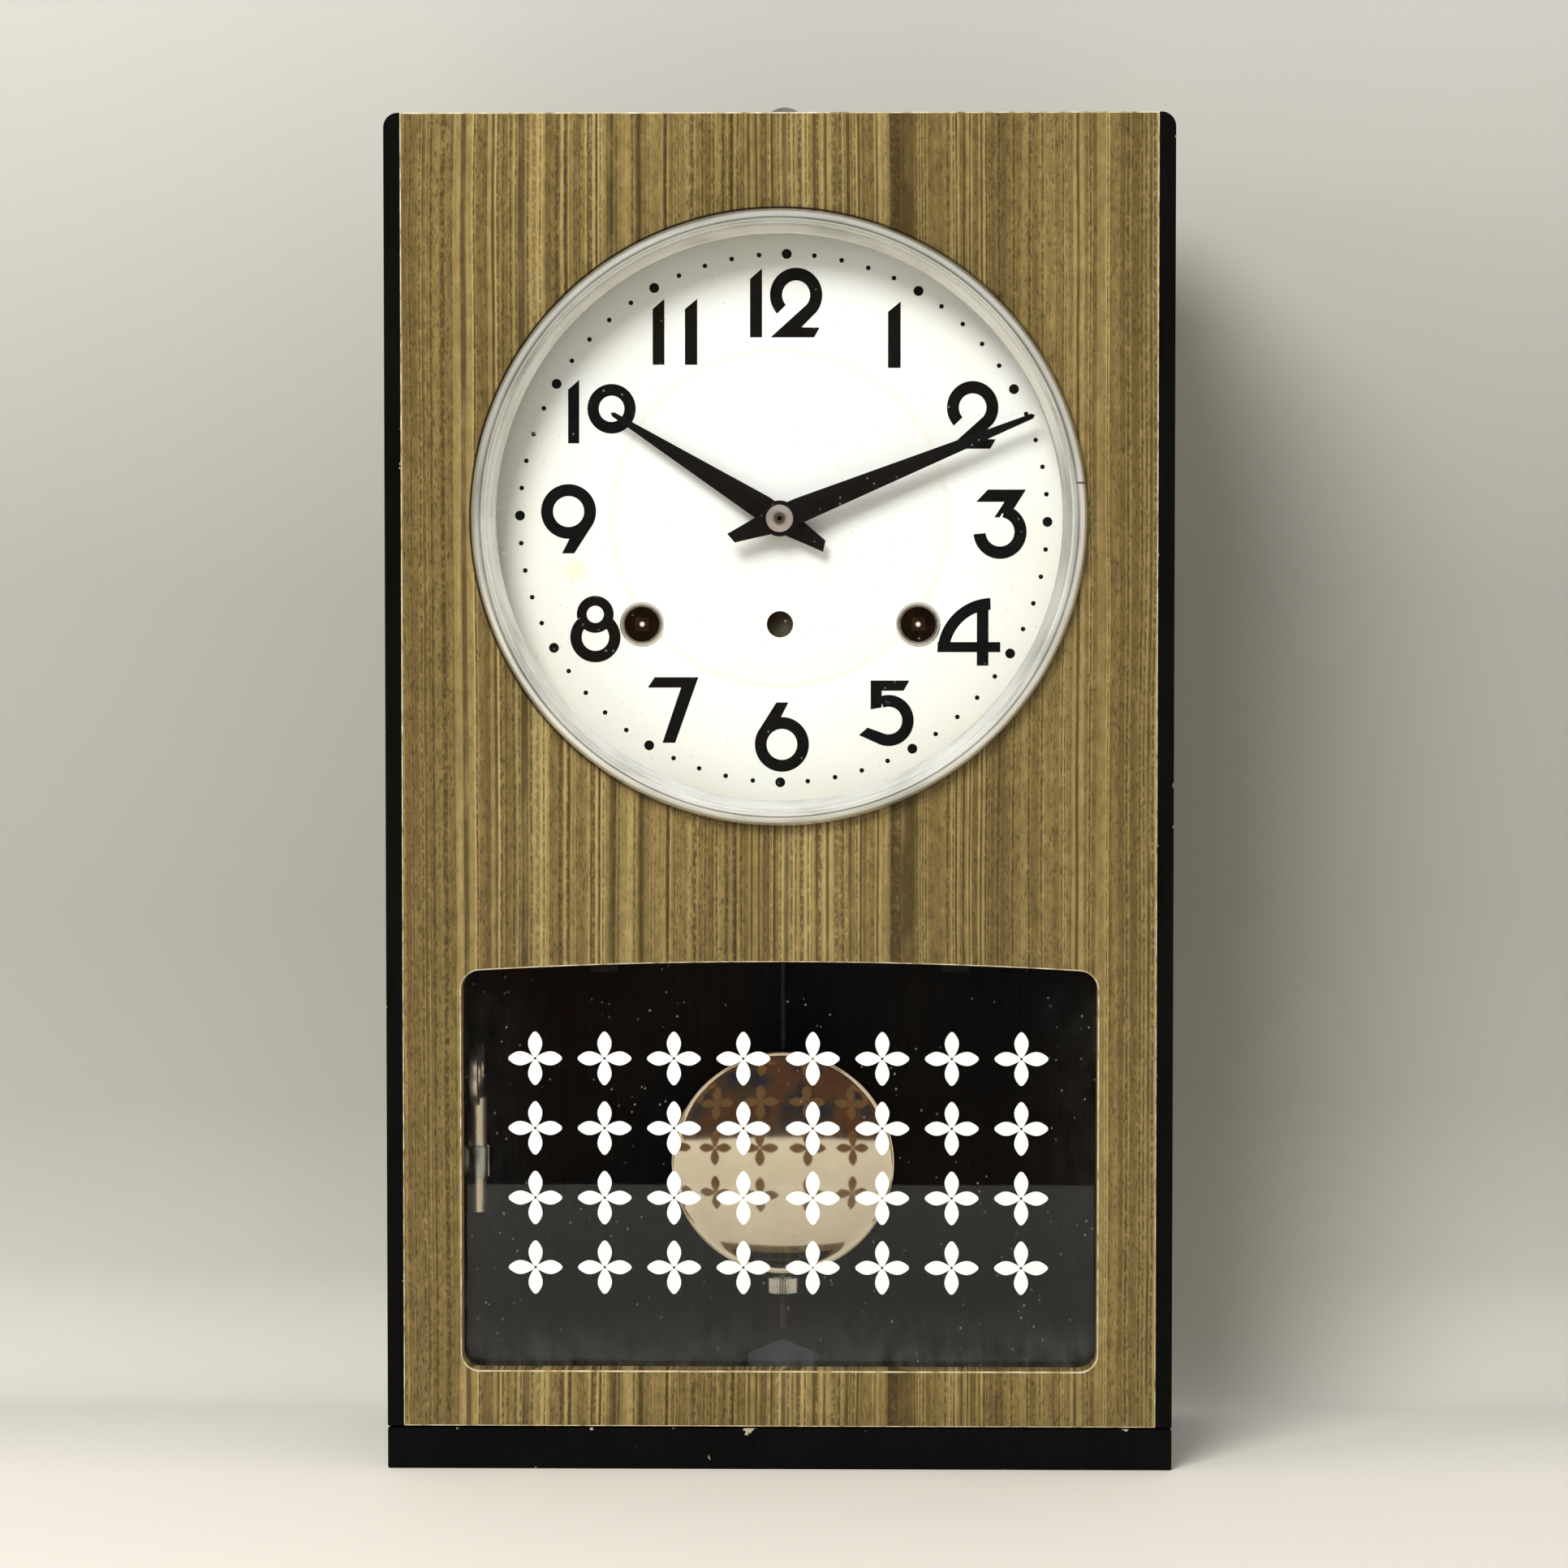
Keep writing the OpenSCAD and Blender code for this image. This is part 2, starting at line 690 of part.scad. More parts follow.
// Dark edge strips; the hinge groove is cut into the back corner of both
module door_strips() {
    color("#1c1b18") for (s = [0, 1]) mirror([s, 0, 0]) intersection() {
        slab(door_front, door_t) strip_outline();
        translate([-case_w / 2, door_front, door_bottom]) linear_extrude(case_h)
            polygon([[0, 0], [strip_w, 0], [strip_w, door_t], [groove, door_t], [0, door_t - groove]]);
    }
}

sleeve_t = 0.9;
sleeve_r = dial_hole_r - seat;
ring_t = 2;

// Round rim: a convex roll outside, a sloping flank inside and a thin sleeve into the door
module bezel() {
    roll_r = (bezel_out_r - bezel_in_r) * 0.28;
    crest_r = bezel_out_r - roll_r;
    roll_z = bezel_h - roll_r;
    color("#c8c9c6") translate([0, door_front, dial_z]) rotate([90, 0, 0]) {
        rotate_extrude($fn = 180)
            polygon([[bezel_in_r, 0], [bezel_in_r, 1], [crest_r - roll_r, roll_z], [bezel_out_r, roll_z],
                [bezel_out_r, 0]]);
        rotate_extrude($fn = 180) translate([crest_r, roll_z]) intersection() {
            circle(roll_r);
            translate([-roll_r, 0]) square([2 * roll_r, roll_r]);
        }
        rotate_extrude($fn = 180) translate([sleeve_r - sleeve_t, 1 - door_t]) square([sleeve_t, door_t]);
    }
}

module dial_glass() {
    color([0.8, 0.85, 0.85, 0.3]) bar(centre_pos, sleeve_r - sleeve_t - seat, door_front, door_front + glass_t);
}

module glass_ring() {
    color("#8f9190") difference() {
        bar(centre_pos, sleeve_r - sleeve_t, door_front + glass_t, door_front + glass_t + ring_t);
        bar(centre_pos, bezel_in_r + 0.4, door_front, door_front + glass_t + 2 * ring_t);
    }
}

module window_glass() {
    color([0.7, 0.75, 0.75, 0.3]) slab(door_back - glass_t, glass_t) window_outline(glass_lap);
}

clip_levels = [win_bottom + 24, win_bottom + win_h - 24];

// Flat clips over the edge of the window glass
module glass_clips() {
    color("#9a9c9c") {
        for (s = [-1, 1], z = clip_levels)
            translate([s * (win_w / 2 + glass_lap - 1), door_back + 0.5, z]) cube([10, 1, 9], center = true);
        for (x = [-1, 1] * (win_w / 2 - 48), z = [win_bottom - glass_lap, win_bottom + win_h + glass_lap])
            translate([x, door_back + 0.5, z]) cube([9, 1, 12], center = true);
    }
}

// Straight blade that narrows to its tip, with a short tail cut off at a slant
module hand(len, tip_w, y0) {
    slab(y0, hand_t) polygon([[-blade_w / 2, 7], [-tip_w / 2, len - 1], [0, len], [tip_w / 2, len - 1],
        [blade_w / 2, 7], [3, -1], [-3, -1]]);
    slab(y0, hand_t) polygon([[-3.4, 1], [3.4, 1], [1.7, -tail_len], [-1.7, -tail_len - 1.5]]);
    slab(y0, hand_t) circle(6.2);
}

module minute_hand() {
    color("#101010") difference() {
        at_dial(centre_pos) rotate([0, minute_angle, 0]) hand(minute_len, 1, minute_y);
        bar(centre_pos, arbor_r + 0.3, minute_y - 1, minute_y + 2);
    }
}

module hour_hand() {
    color("#101010") difference() {
        at_dial(centre_pos) rotate([0, hour_angle, 0]) hand(hour_len, 1.6, hour_y);
        bar(centre_pos, hour_pipe_r, hour_y - 1, hour_y + 2);
    }
}

module hand_nut() {
    color("#c8c9c6") difference() {
        union() {
            at_dial(centre_pos) slab(minute_y - 1.8, 1.8) circle(r = 4.65, $fn = 6);
            bar(centre_pos, 3.4, minute_y - 2.4, minute_y - 1.8);
        }
        bar(centre_pos, arbor_r + 0.03, minute_y - 3, minute_y + 1);
    }
}

cannon_y = front_plate_y - 6;

module cannon_pinion() {
    color("#b39a58") difference() {
        union() {
            pinion(centre_pos, cannon_leaves, cannon_m, heading(centre_pos, minute_wheel_pos), cannon_y, 2.4);
            bar(centre_pos, cannon_r, minute_y + hand_t, front_plate_y - 0.5);
        }
        bar(centre_pos, arbor_r + 0.03, minute_y, front_plate_y);
    }
}

module centre_wheel() {
    color("#b39a58") {
        bar(centre_pos, arbor_r, centre_tip, back_plate_end);
        wheel(centre_pos, fine_teeth, fine_m, heading(centre_pos, third_pos), centre_y);
        pinion(centre_pos, low_leaves, second_m, heading(centre_pos, intermediate_pos), second_y - 0.8, 3);
    }
}

module hour_wheel() {
    back = hour_wheel_y + 1.2;
    color("#b39a58") difference() {
        union() {
            wheel(centre_pos, hour_teeth, hour_m, heading(centre_pos, minute_wheel_pos), hour_wheel_y, 1.2);
            bar(centre_pos, hour_pipe_r, hour_y, back);
        }
        bar(centre_pos, cannon_r + run, hour_y - 1, back + 1);
    }
}

hour_wheel_y = dial_back + 1.1;

module minute_wheel() {
    towards = heading(minute_wheel_pos, centre_pos);
    color("#b39a58") difference() {
        union() {
            wheel(minute_wheel_pos, minute_teeth, cannon_m, towards, cannon_y + 0.5);
            pinion(minute_wheel_pos, motion_leaves, hour_m, towards, hour_wheel_y - 0.3,
                cannon_y + 0.5 - hour_wheel_y + 0.3);
        }
        bar(minute_wheel_pos, stud_r + run, dial_back, front_plate_y);
    }
}

module intermediate_wheel() {
    color("#b39a58") {
        arbor(intermediate_pos);
        wheel(intermediate_pos, second_teeth, second_m, heading(intermediate_pos, centre_pos), second_y);
        pinion(intermediate_pos, low_leaves, great_m, heading(intermediate_pos, going_pos), great_y - 0.4, 3.3);
    }
}

module third_wheel() {
    color("#b39a58") {
        arbor(third_pos);
        wheel(third_pos, fine_teeth, fine_m, heading(third_pos, escape_pos), third_y);
        pinion(third_pos, high_leaves, fine_m, heading(third_pos, centre_pos), centre_y - 1, 3.3);
    }
}

module escape_wheel() {
    step = 360 / escape_teeth;
    tooth = [[escape_r - 2.4, 0], [escape_r, 0.62], [escape_r - 2.4, 0.7]];
    color("#b39a58") {
        arbor(escape_pos);
        pinion(escape_pos, high_leaves, fine_m, heading(escape_pos, third_pos), third_y - 1, 3.3);
        at_dial(escape_pos) slab(escape_y, 1.5)
            polygon([for (i = [0:escape_teeth - 1], c = tooth) polar(c[0], (i + c[1]) * step)]);
    }
}

// Barrel: great wheel, drum wall and two ends with bearing holes
module barrel(pos, toward) {
    color("#b39a58") difference() {
        union() {
            wheel(pos, great_teeth, great_m, heading(pos, toward), great_y, great_t);
            bar(pos, barrel_r, great_y, barrel_end);
        }
        bar(pos, barrel_r - 1.2, great_y + great_t, barrel_end - 1.5);
        bar(pos, barrel_arbor_r + run, great_y - 1, barrel_end + 1);
    }
}

// Coiled mainspring: one flat strip wound from the arbor's hub out to the drum wall
module mainspring(pos) {
    turns = 7;
    steps = 24;
    strip = 0.9;
    inner = hub_r + 1;
    grow = (barrel_r - 1.2 - strip - 1 - inner) / turns;
    color("#4b5a6b") at_dial(pos) slab(great_y + great_t + 1, barrel_end - great_y - great_t - 3.5)
        polygon(concat(
            [for (i = [0:turns * steps]) polar(inner + grow * i / steps, i * 360 / steps)],
            [for (i = [turns * steps:-1:0]) polar(inner + strip + grow * i / steps, i * 360 / steps)]));
}

hub_r = 6;
ratchet_teeth = 24;
ratchet_y = front_plate_y - 2.4;

// Winding arbor: square end in front, ratchet wheel, and a hub inside the drum
module winding_arbor(pos) {
    step = 360 / ratchet_teeth;
    tooth = [[ratchet_r, 0], [ratchet_r - 1.5, 0.12], [ratchet_r - 1.5, 0.2]];
    color("#9fa1a0") {
        bar(pos, barrel_arbor_r, ratchet_y, back_plate_end);
        bar(pos, hub_r, great_y + great_t + 0.5, barrel_end - 2);
        at_dial(pos) slab(dial_back + 1.5, ratchet_y - dial_back - 1.5) square(square_w, center = true);
        at_dial(pos) slab(ratchet_y, 1.8)
            polygon([for (i = [0:ratchet_teeth - 1], c = tooth) polar(c[0], (i + c[1]) * step)]);
    }
}

// Click: a short lever on its stud, with its nose just clear of the ratchet's tips
module click(pos) {
    pivot = pos + click_pos;
    nose = ratchet_r + 0.4;
    color("#9fa1a0") difference() {
        at_dial(pivot) slab(ratchet_y, 1.8) {
            circle(3);
            rotate(heading(pivot, pos)) polygon([[0, -2.4], [norm(click_pos) - nose, -0.6],
                [norm(click_pos) - nose, 0.4], [0, 2.4]]);
        }
        bar(pivot, stud_r + run, ratchet_y - 1, ratchet_y + 3);
    }
}

module going_barrel() { barrel(going_pos, intermediate_pos); }
module strike_barrel() { barrel(strike_pos, strike_second_pos); }
module going_spring() { mainspring(going_pos); }
module strike_spring() { mainspring(strike_pos); }
module going_arbor() { winding_arbor(going_pos); }
module strike_arbor() { winding_arbor(strike_pos); }
module going_click() { click(going_pos); }
module strike_click() { click(strike_pos); }

crutch_y = back_plate_end + 2;
crutch_t = 2;
crutch_drop = 34;
fork_half = rod_r + 0.15;
tine_w = 1.5;

// Anchor with its two pallets, its arbor and the crutch, whose fork takes the rod along
module anchor() {
    pallet = [[0, 2.4], [-10.5, -0.5], [-14.2, -7.4], [-12.2, -8], [-9.5, -4], [0, -2]];
    color("#8f9190") {
        bar(pivot_pos, arbor_r, inner_y + 0.5, crutch_y + crutch_t);
        bar(pivot_pos, pivot_r, front_plate_y, inner_y + 1);
        at_dial(pivot_pos) {
            slab(escape_y, 1.5) {
                circle(3);
                for (s = [0, 1]) mirror([s, 0]) polygon(pallet);
            }
            slab(crutch_y, crutch_t) {
                circle(3);
                translate([-1.5, -crutch_drop]) square([3, crutch_drop]);
                translate([-fork_half - tine_w, -crutch_drop]) square([2 * (fork_half + tine_w), 3]);
            }
            for (x = [-fork_half - tine_w, fork_half]) slab(crutch_y, pendulum_y - crutch_y + 3)
                translate([x, -crutch_drop]) square([tine_w, 3]);
        }
    }
}

// Rod with the suspension strip at its upper end
module pendulum_rod() {
    strip_t = 0.3;
    hook_z = axis_z + cock_low + cock_h + 0.3;
    color("#b3a98a") translate([0, pendulum_y, 0]) {
        translate([0, 0, rod_end]) cylinder(r = rod_r, h = rod_top - rod_end);
        translate([-strip_t / 2, -3, rod_top - 4]) cube([strip_t, 6, hook_z + 1 - rod_top + 4]);
        translate([-1.6, -3.4, rod_top - 6]) cube([3.2, 6.8, 8]);
        translate([-2.4, -3.4, hook_z]) cube([4.8, 6.8, 3]);
    }
}

// Polished bob: a disc with a domed rim, bored for the rod
module pendulum_bob() {
    edge = 1.2;
    half = bob_t / 2;
    face = half - 0.6;
    front_r = bob_r - 3;
    bulge = [for (i = [0:11]) [front_r * i / 12, face + bob_bulge * (1 - i * i / 144)]];
    color("#d8cfae") translate([0, pendulum_y, bob_z]) difference() {
        rotate([90, 0, 0]) rotate_extrude($fn = 160)
            polygon(concat(bulge, [[front_r, face], [bob_r - 2, half], [bob_r, half - edge],
                [bob_r, edge - half], [bob_r - 2, -half], [front_r, -face], [0, -face]]));
        translate([0, 0, -bob_r - 1]) cylinder(r = rod_r + run, h = 2 * bob_r + 2);
    }
}

module rating_nut() {
    color("#c2b280") translate([0, pendulum_y, nut_z]) difference() {
        cylinder(r = nut_r, h = nut_h);
        translate([0, 0, -1]) cylinder(r = rod_r + run, h = nut_h + 2);
    }
}

module strike_second_wheel() {
    color("#b39a58") {
        arbor(strike_second_pos);
        wheel(strike_second_pos, second_teeth, second_m, heading(strike_second_pos, pin_wheel_pos), second_y);
        pinion(strike_second_pos, low_leaves, great_m, heading(strike_second_pos, strike_pos),
            great_y - 0.4, 3.3);
    }
}

lift_pins = 8;
lift_pin_r = 0.7;
lift_circle = 13;

module strike_pin_wheel() {
    color("#b39a58") {
        arbor(pin_wheel_pos);
        wheel(pin_wheel_pos, pin_teeth, fine_m, heading(pin_wheel_pos, fly_pos), pin_y);
        pinion(pin_wheel_pos, high_leaves, second_m, heading(pin_wheel_pos, strike_second_pos),
            second_y - 0.8, 3);
        for (i = [0:lift_pins - 1])
            bar(pin_wheel_pos + polar(lift_circle, i * 360 / lift_pins), lift_pin_r, pin_y, pin_y + 4.5);
    }
}

// Fly: a pinion and a pair of air vanes
module strike_fly() {
    color("#b39a58") {
        arbor(fly_pos);
        pinion(fly_pos, high_leaves, fine_m, heading(fly_pos, pin_wheel_pos), pin_y - 1, 3.3);
        at_dial(fly_pos) slab(pin_y + 5, 16) square([22, 0.8], center = true);
    }
}

hammer_drop = 45;
hammer_r = 5;

// Hammer: tail beside the lifting pins, arbor through the back plate, and a head beside the rods
module strike_hammer() {
    reach = norm(hammer_pos - pin_wheel_pos) - lift_circle - lift_pin_r - 0.4;
    color("#9fa1a0") {
        bar(hammer_pos, arbor_r, inner_y + 0.5, gong_y + 1.2);
        bar(hammer_pos, pivot_r, front_plate_y, inner_y + 1);
        at_dial(hammer_pos) {
            slab(pin_y + 2.2, 1.2) rotate(heading(hammer_pos, pin_wheel_pos))
                polygon([[0, -2], [reach, -0.6], [reach, 0.6], [0, 2]]);
            slab(gong_y - 1.2, 2.4) translate([-1.2, -hammer_drop]) square([2.4, hammer_drop]);
            translate([gong_x + gong_r + 0.4 - hammer_pos[0], gong_y, -hammer_drop]) rotate([0, 90, 0])
                cylinder(r = hammer_r, h = 12);
        }
    }
}

base_board();
side_board_left();
side_board_right();
top_board();
back_board();
hanger_plate();
movement_brackets();
bracket_screws();
case_hinge_leaves();
hinge_pins();
catch_magnet();
key_clip();
beat_plate();
gong_block();
gong_rods();
front_plate();
back_plate();
pillars();
pillar_nuts();
dial_plate();
dial_feet();
winding_eyelets();
back_cock();
door_board();
door_strips();
bezel();
dial_glass();
glass_ring();
window_glass();
glass_clips();
door_hinge_leaves();
catch_plate();
minute_hand();
hand_nut();
cannon_pinion();
centre_wheel();
hour_hand();
hour_wheel();
minute_wheel();
intermediate_wheel();
third_wheel();
escape_wheel();
going_barrel();
going_spring();
going_arbor();
anchor();
pendulum_rod();
pendulum_bob();
rating_nut();
strike_barrel();
strike_spring();
strike_arbor();
strike_second_wheel();
strike_pin_wheel();
strike_fly();
strike_hammer();
going_click();
strike_click();
winding_key();
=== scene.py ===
import bpy
import json
import math
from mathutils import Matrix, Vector


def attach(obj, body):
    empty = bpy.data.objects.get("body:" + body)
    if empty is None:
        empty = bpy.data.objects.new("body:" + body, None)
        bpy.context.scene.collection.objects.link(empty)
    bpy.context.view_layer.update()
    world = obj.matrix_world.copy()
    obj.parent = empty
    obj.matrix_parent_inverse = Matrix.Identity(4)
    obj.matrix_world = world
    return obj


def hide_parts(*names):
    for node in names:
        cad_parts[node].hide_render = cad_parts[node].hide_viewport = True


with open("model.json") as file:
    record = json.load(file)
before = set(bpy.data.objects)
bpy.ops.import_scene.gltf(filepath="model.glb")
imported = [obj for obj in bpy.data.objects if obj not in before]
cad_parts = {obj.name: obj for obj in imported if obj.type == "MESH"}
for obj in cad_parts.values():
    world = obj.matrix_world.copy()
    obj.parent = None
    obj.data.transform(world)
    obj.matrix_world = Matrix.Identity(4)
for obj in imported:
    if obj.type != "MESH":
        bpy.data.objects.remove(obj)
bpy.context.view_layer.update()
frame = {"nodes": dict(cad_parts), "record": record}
mm = 0.001
up = 0.3236            # height of the dial centre
doorFront = -0.055
doorBack = -0.043
paneFront = -0.045     # front face of the window glass
dialFace = -0.0385
dial = {"radius": 101, "thick": 0.8, "ringRadius": 57.2, "windX": 47.2, "windDrop": 36, "turn": -0.7,
    "printX": 1.2, "trackRadius": 90, "smallDot": 0.8, "largeDot": 1.7,
    "centreHole": 4.0, "setHole": 4.5, "windHole": 6.9}
scene = bpy.context.scene


def deselectAll():
    if bpy.context.object and bpy.context.object.mode != "OBJECT":
        bpy.ops.object.mode_set(mode="OBJECT")
    bpy.ops.object.select_all(action="DESELECT")


def activate(piece):
    deselectAll()
    piece.select_set(True)
    bpy.context.view_layer.objects.active = piece


def named(name):
    piece = bpy.context.object
    piece.name = name
    piece.data.name = name
    return piece


def settle(piece):
    activate(piece)
    bpy.ops.object.transform_apply(location=True, rotation=True, scale=True)
    return piece


def pick(piece, what, test):
    # selects vertices, edges or faces by a test and leaves the piece in edit mode
    activate(piece)
    bpy.ops.object.mode_set(mode="EDIT")
    bpy.ops.mesh.select_mode(type=what)
    bpy.ops.mesh.select_all(action="DESELECT")
    bpy.ops.object.mode_set(mode="OBJECT")
    items = {"VERT": piece.data.vertices, "EDGE": piece.data.edges, "FACE": piece.data.polygons}[what]
    for item in items:
        item.select = test(item)
    bpy.ops.object.mode_set(mode="EDIT")


def closeUp(piece, distance=1e-6):
    # merges doubles and turns every face outwards
    activate(piece)
    bpy.ops.object.mode_set(mode="EDIT")
    bpy.ops.mesh.select_all(action="SELECT")
    bpy.ops.mesh.remove_doubles(threshold=distance)
    bpy.ops.mesh.normals_make_consistent(inside=False)
    bpy.ops.object.mode_set(mode="OBJECT")
    return piece


def modify(piece, kind, **settings):
    modifier = piece.modifiers.new(kind.title(), kind)
    for key, value in settings.items():
        setattr(modifier, key, value)
    activate(piece)
    bpy.ops.object.modifier_apply(modifier=modifier.name)


def twoSlots(piece):
    # room for the face finish and the edge finish, so that a bevel can use the second
    for k in range(2):
        piece.data.materials.append(None)


def chamfer(piece, width, segments, angle, material=-1):
    modify(piece, "BEVEL", width=width, segments=segments, limit_method="ANGLE",
        angle_limit=math.radians(angle), material=material, harden_normals=False)


def smooth(piece, angle):
    activate(piece)
    bpy.ops.object.shade_smooth_by_angle(angle=math.radians(angle))


def carve(piece, *cutters):
    for cutter in cutters:
        modify(piece, "BOOLEAN", operation="DIFFERENCE", solver="EXACT", object=cutter)
        bpy.data.objects.remove(cutter)


def merged(name, pieces):
    activate(pieces[0])
    for other in pieces:
        other.select_set(True)
    if len(pieces) > 1:
        bpy.ops.object.join()
    return named(name)


def twin(piece, name):
    copy = bpy.data.objects.new(name, piece.data.copy())
    scene.collection.objects.link(copy)
    return copy


def rod(name, x, z, radius, y0, y1, sides):
    bpy.ops.mesh.primitive_cylinder_add(vertices=sides, radius=radius, depth=y1 - y0,
        location=(x, (y0 + y1) / 2, z), rotation=(math.pi / 2, 0, 0))
    return settle(named(name))


def turned(name, profile, centre, axis="Y", steps=160, ring=True):
    # lathe work: profile gives (radius, place along the axis); a ring's profile is a closed loop
    deselectAll()
    bpy.ops.mesh.primitive_circle_add(vertices=len(profile), radius=1, fill_type="NOTHING")
    piece = named(name)
    for vertex, (r, along) in zip(piece.data.vertices, profile):
        vertex.co = (r, along, 0) if axis == "Y" else (r, 0, along)
    if not ring:
        count = len(profile)
        pick(piece, "EDGE", lambda edge: set(edge.vertices) == {0, count - 1})
        bpy.ops.mesh.delete(type="EDGE_FACE")
        bpy.ops.object.mode_set(mode="OBJECT")
    activate(piece)
    bpy.ops.object.mode_set(mode="EDIT")
    bpy.ops.mesh.select_all(action="SELECT")
    bpy.ops.mesh.spin(steps=steps, angle=2 * math.pi, center=(0, 0, 0),
        axis=(0, 1, 0) if axis == "Y" else (0, 0, 1))
    bpy.ops.object.mode_set(mode="OBJECT")
    piece.location = centre
    return closeUp(settle(piece), 2e-6)


def softened(node, name, body, width, segments=2, flat=1.0, material=-1):
    # a copy of a CAD piece with its sharp edges broken
    piece = bpy.data.objects.new(name, frame["nodes"][node].data.copy())
    scene.collection.objects.link(piece)
    piece.data.materials.clear()
    twoSlots(piece)
    activate(piece)
    bpy.ops.object.mode_set(mode="EDIT")
    bpy.ops.mesh.select_all(action="SELECT")
    bpy.ops.mesh.remove_doubles(threshold=2e-6)
    bpy.ops.mesh.dissolve_limited(angle_limit=math.radians(flat))
    bpy.ops.object.mode_set(mode="OBJECT")
    chamfer(piece, width * mm, segments, 30, material)
    smooth(piece, 35)
    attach(piece, body)
    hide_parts(node)
    return piece


def tone(red, green, blue):
    # a colour as picked from a screen, 0 to 255
    def curve(v):
        v = v / 255
        return v / 12.92 if v <= 0.04045 else ((v + 0.055) / 1.055) ** 2.4
    return (curve(red), curve(green), curve(blue), 1)


class Wire:
    # one output socket that can be used in sums
    def __init__(self, recipe, socket):
        self.recipe = recipe
        self.socket = socket

    def maths(self, operation, first, second=None):
        values = {0: first} if second is None else {0: first, 1: second}
        return self.recipe.add("ShaderNodeMath", {"operation": operation}, values)

    def __add__(self, other):
        return self.maths("ADD", self, other)

    def __radd__(self, other):
        return self.maths("ADD", other, self)

    def __sub__(self, other):
        return self.maths("SUBTRACT", self, other)

    def __rsub__(self, other):
        return self.maths("SUBTRACT", other, self)

    def __mul__(self, other):
        return self.maths("MULTIPLY", self, other)

    def __rmul__(self, other):
        return self.maths("MULTIPLY", other, self)

    def __gt__(self, other):
        return self.maths("GREATER_THAN", self, other)

    def __lt__(self, other):
        return self.maths("LESS_THAN", self, other)

    def span(self, low, high, start=0.0, end=1.0):
        # maps low..high on to start..end and stops there
        return self.recipe.add("ShaderNodeMapRange", {"clamp": True},
            {"Value": self, "From Min": low, "From Max": high, "To Min": start, "To Max": end})

    def size(self):
        return self.maths("ABSOLUTE", self)

    def root(self):
        return self.maths("SQRT", self)


class Recipe:
    def __init__(self, name, world=False):
        self.block = bpy.data.worlds.new(name) if world else bpy.data.materials.new(name)
        self.block.use_nodes = True
        self.tree = self.block.node_tree
        self.tree.nodes.clear()
        self.made = {}

    def add(self, kind, settings=None, values=None, out=0):
        node = self.tree.nodes.new(kind)
        for key, value in (settings or {}).items():
            if key == "stops":
                ramp = node.color_ramp
                while len(ramp.elements) < len(value):
                    ramp.elements.new(1)
                for element, (place, colour) in zip(ramp.elements, value):
                    element.position = place
                    element.color = colour
            else:
                setattr(node, key, value)
        for key, value in (values or {}).items():
            if isinstance(value, Wire):
                self.tree.links.new(value.socket, node.inputs[key])
            else:
                node.inputs[key].default_value = value
        return Wire(self, node.outputs[out])

    def place(self):
        if "place" not in self.made:
            self.made["place"] = self.add("ShaderNodeTexCoord", out="Object")
        return self.made["place"]

    def axis(self, letter):
        if "split" not in self.made:
            self.made["split"] = self.add("ShaderNodeSeparateXYZ", None, {"Vector": self.place()})
        node = self.made["split"].socket.node
        return Wire(self, node.outputs[letter])

    def stretched(self, x, y, z):
        return self.add("ShaderNodeMapping", None, {"Vector": self.place(), "Scale": (x, y, z)})

    def noise(self, where, detail, rough=0.5, twist=0.0):
        return self.add("ShaderNodeTexNoise", None,
            {"Vector": where, "Scale": 1, "Detail": detail, "Roughness": rough, "Distortion": twist})

    def even(self, scale, detail=3, rough=0.5):
        # noise with the same grain in all directions
        return self.noise(self.stretched(scale, scale, scale), detail, rough)

    def lane(self, x, y, z):
        return self.add("ShaderNodeCombineXYZ", None, {"X": x, "Y": y, "Z": z})

    def squareFrom(self, x, z):
        # square of the distance from a line that runs from front to back
        side = self.axis("X") - x
        rise = self.axis("Z") - z
        return side * side + rise * rise

    def blend(self, factor, first, second, way="MIX"):
        return self.add("ShaderNodeMix", {"data_type": "RGBA", "blend_type": way},
            {0: factor, 6: first, 7: second}, 2)

    def ramp(self, factor, *stops):
        return self.add("ShaderNodeValToRGB", {"stops": stops}, {"Fac": factor})

    def bump(self, height, distance, strength):
        return self.add("ShaderNodeBump", None,
            {"Height": height, "Distance": distance, "Strength": strength})

    def surface(self, colour, rough, metal, normal=None, extra=None):
        values = {"Base Color": colour, "Roughness": rough, "Metallic": metal}
        if normal:
            values["Normal"] = normal
        values.update(extra or {})
        return self.add("ShaderNodeBsdfPrincipled", None, values)

    def done(self, shader):
        output = self.tree.nodes.new("ShaderNodeOutputMaterial")
        self.tree.links.new(shader.socket, output.inputs["Surface"])
        return self.block


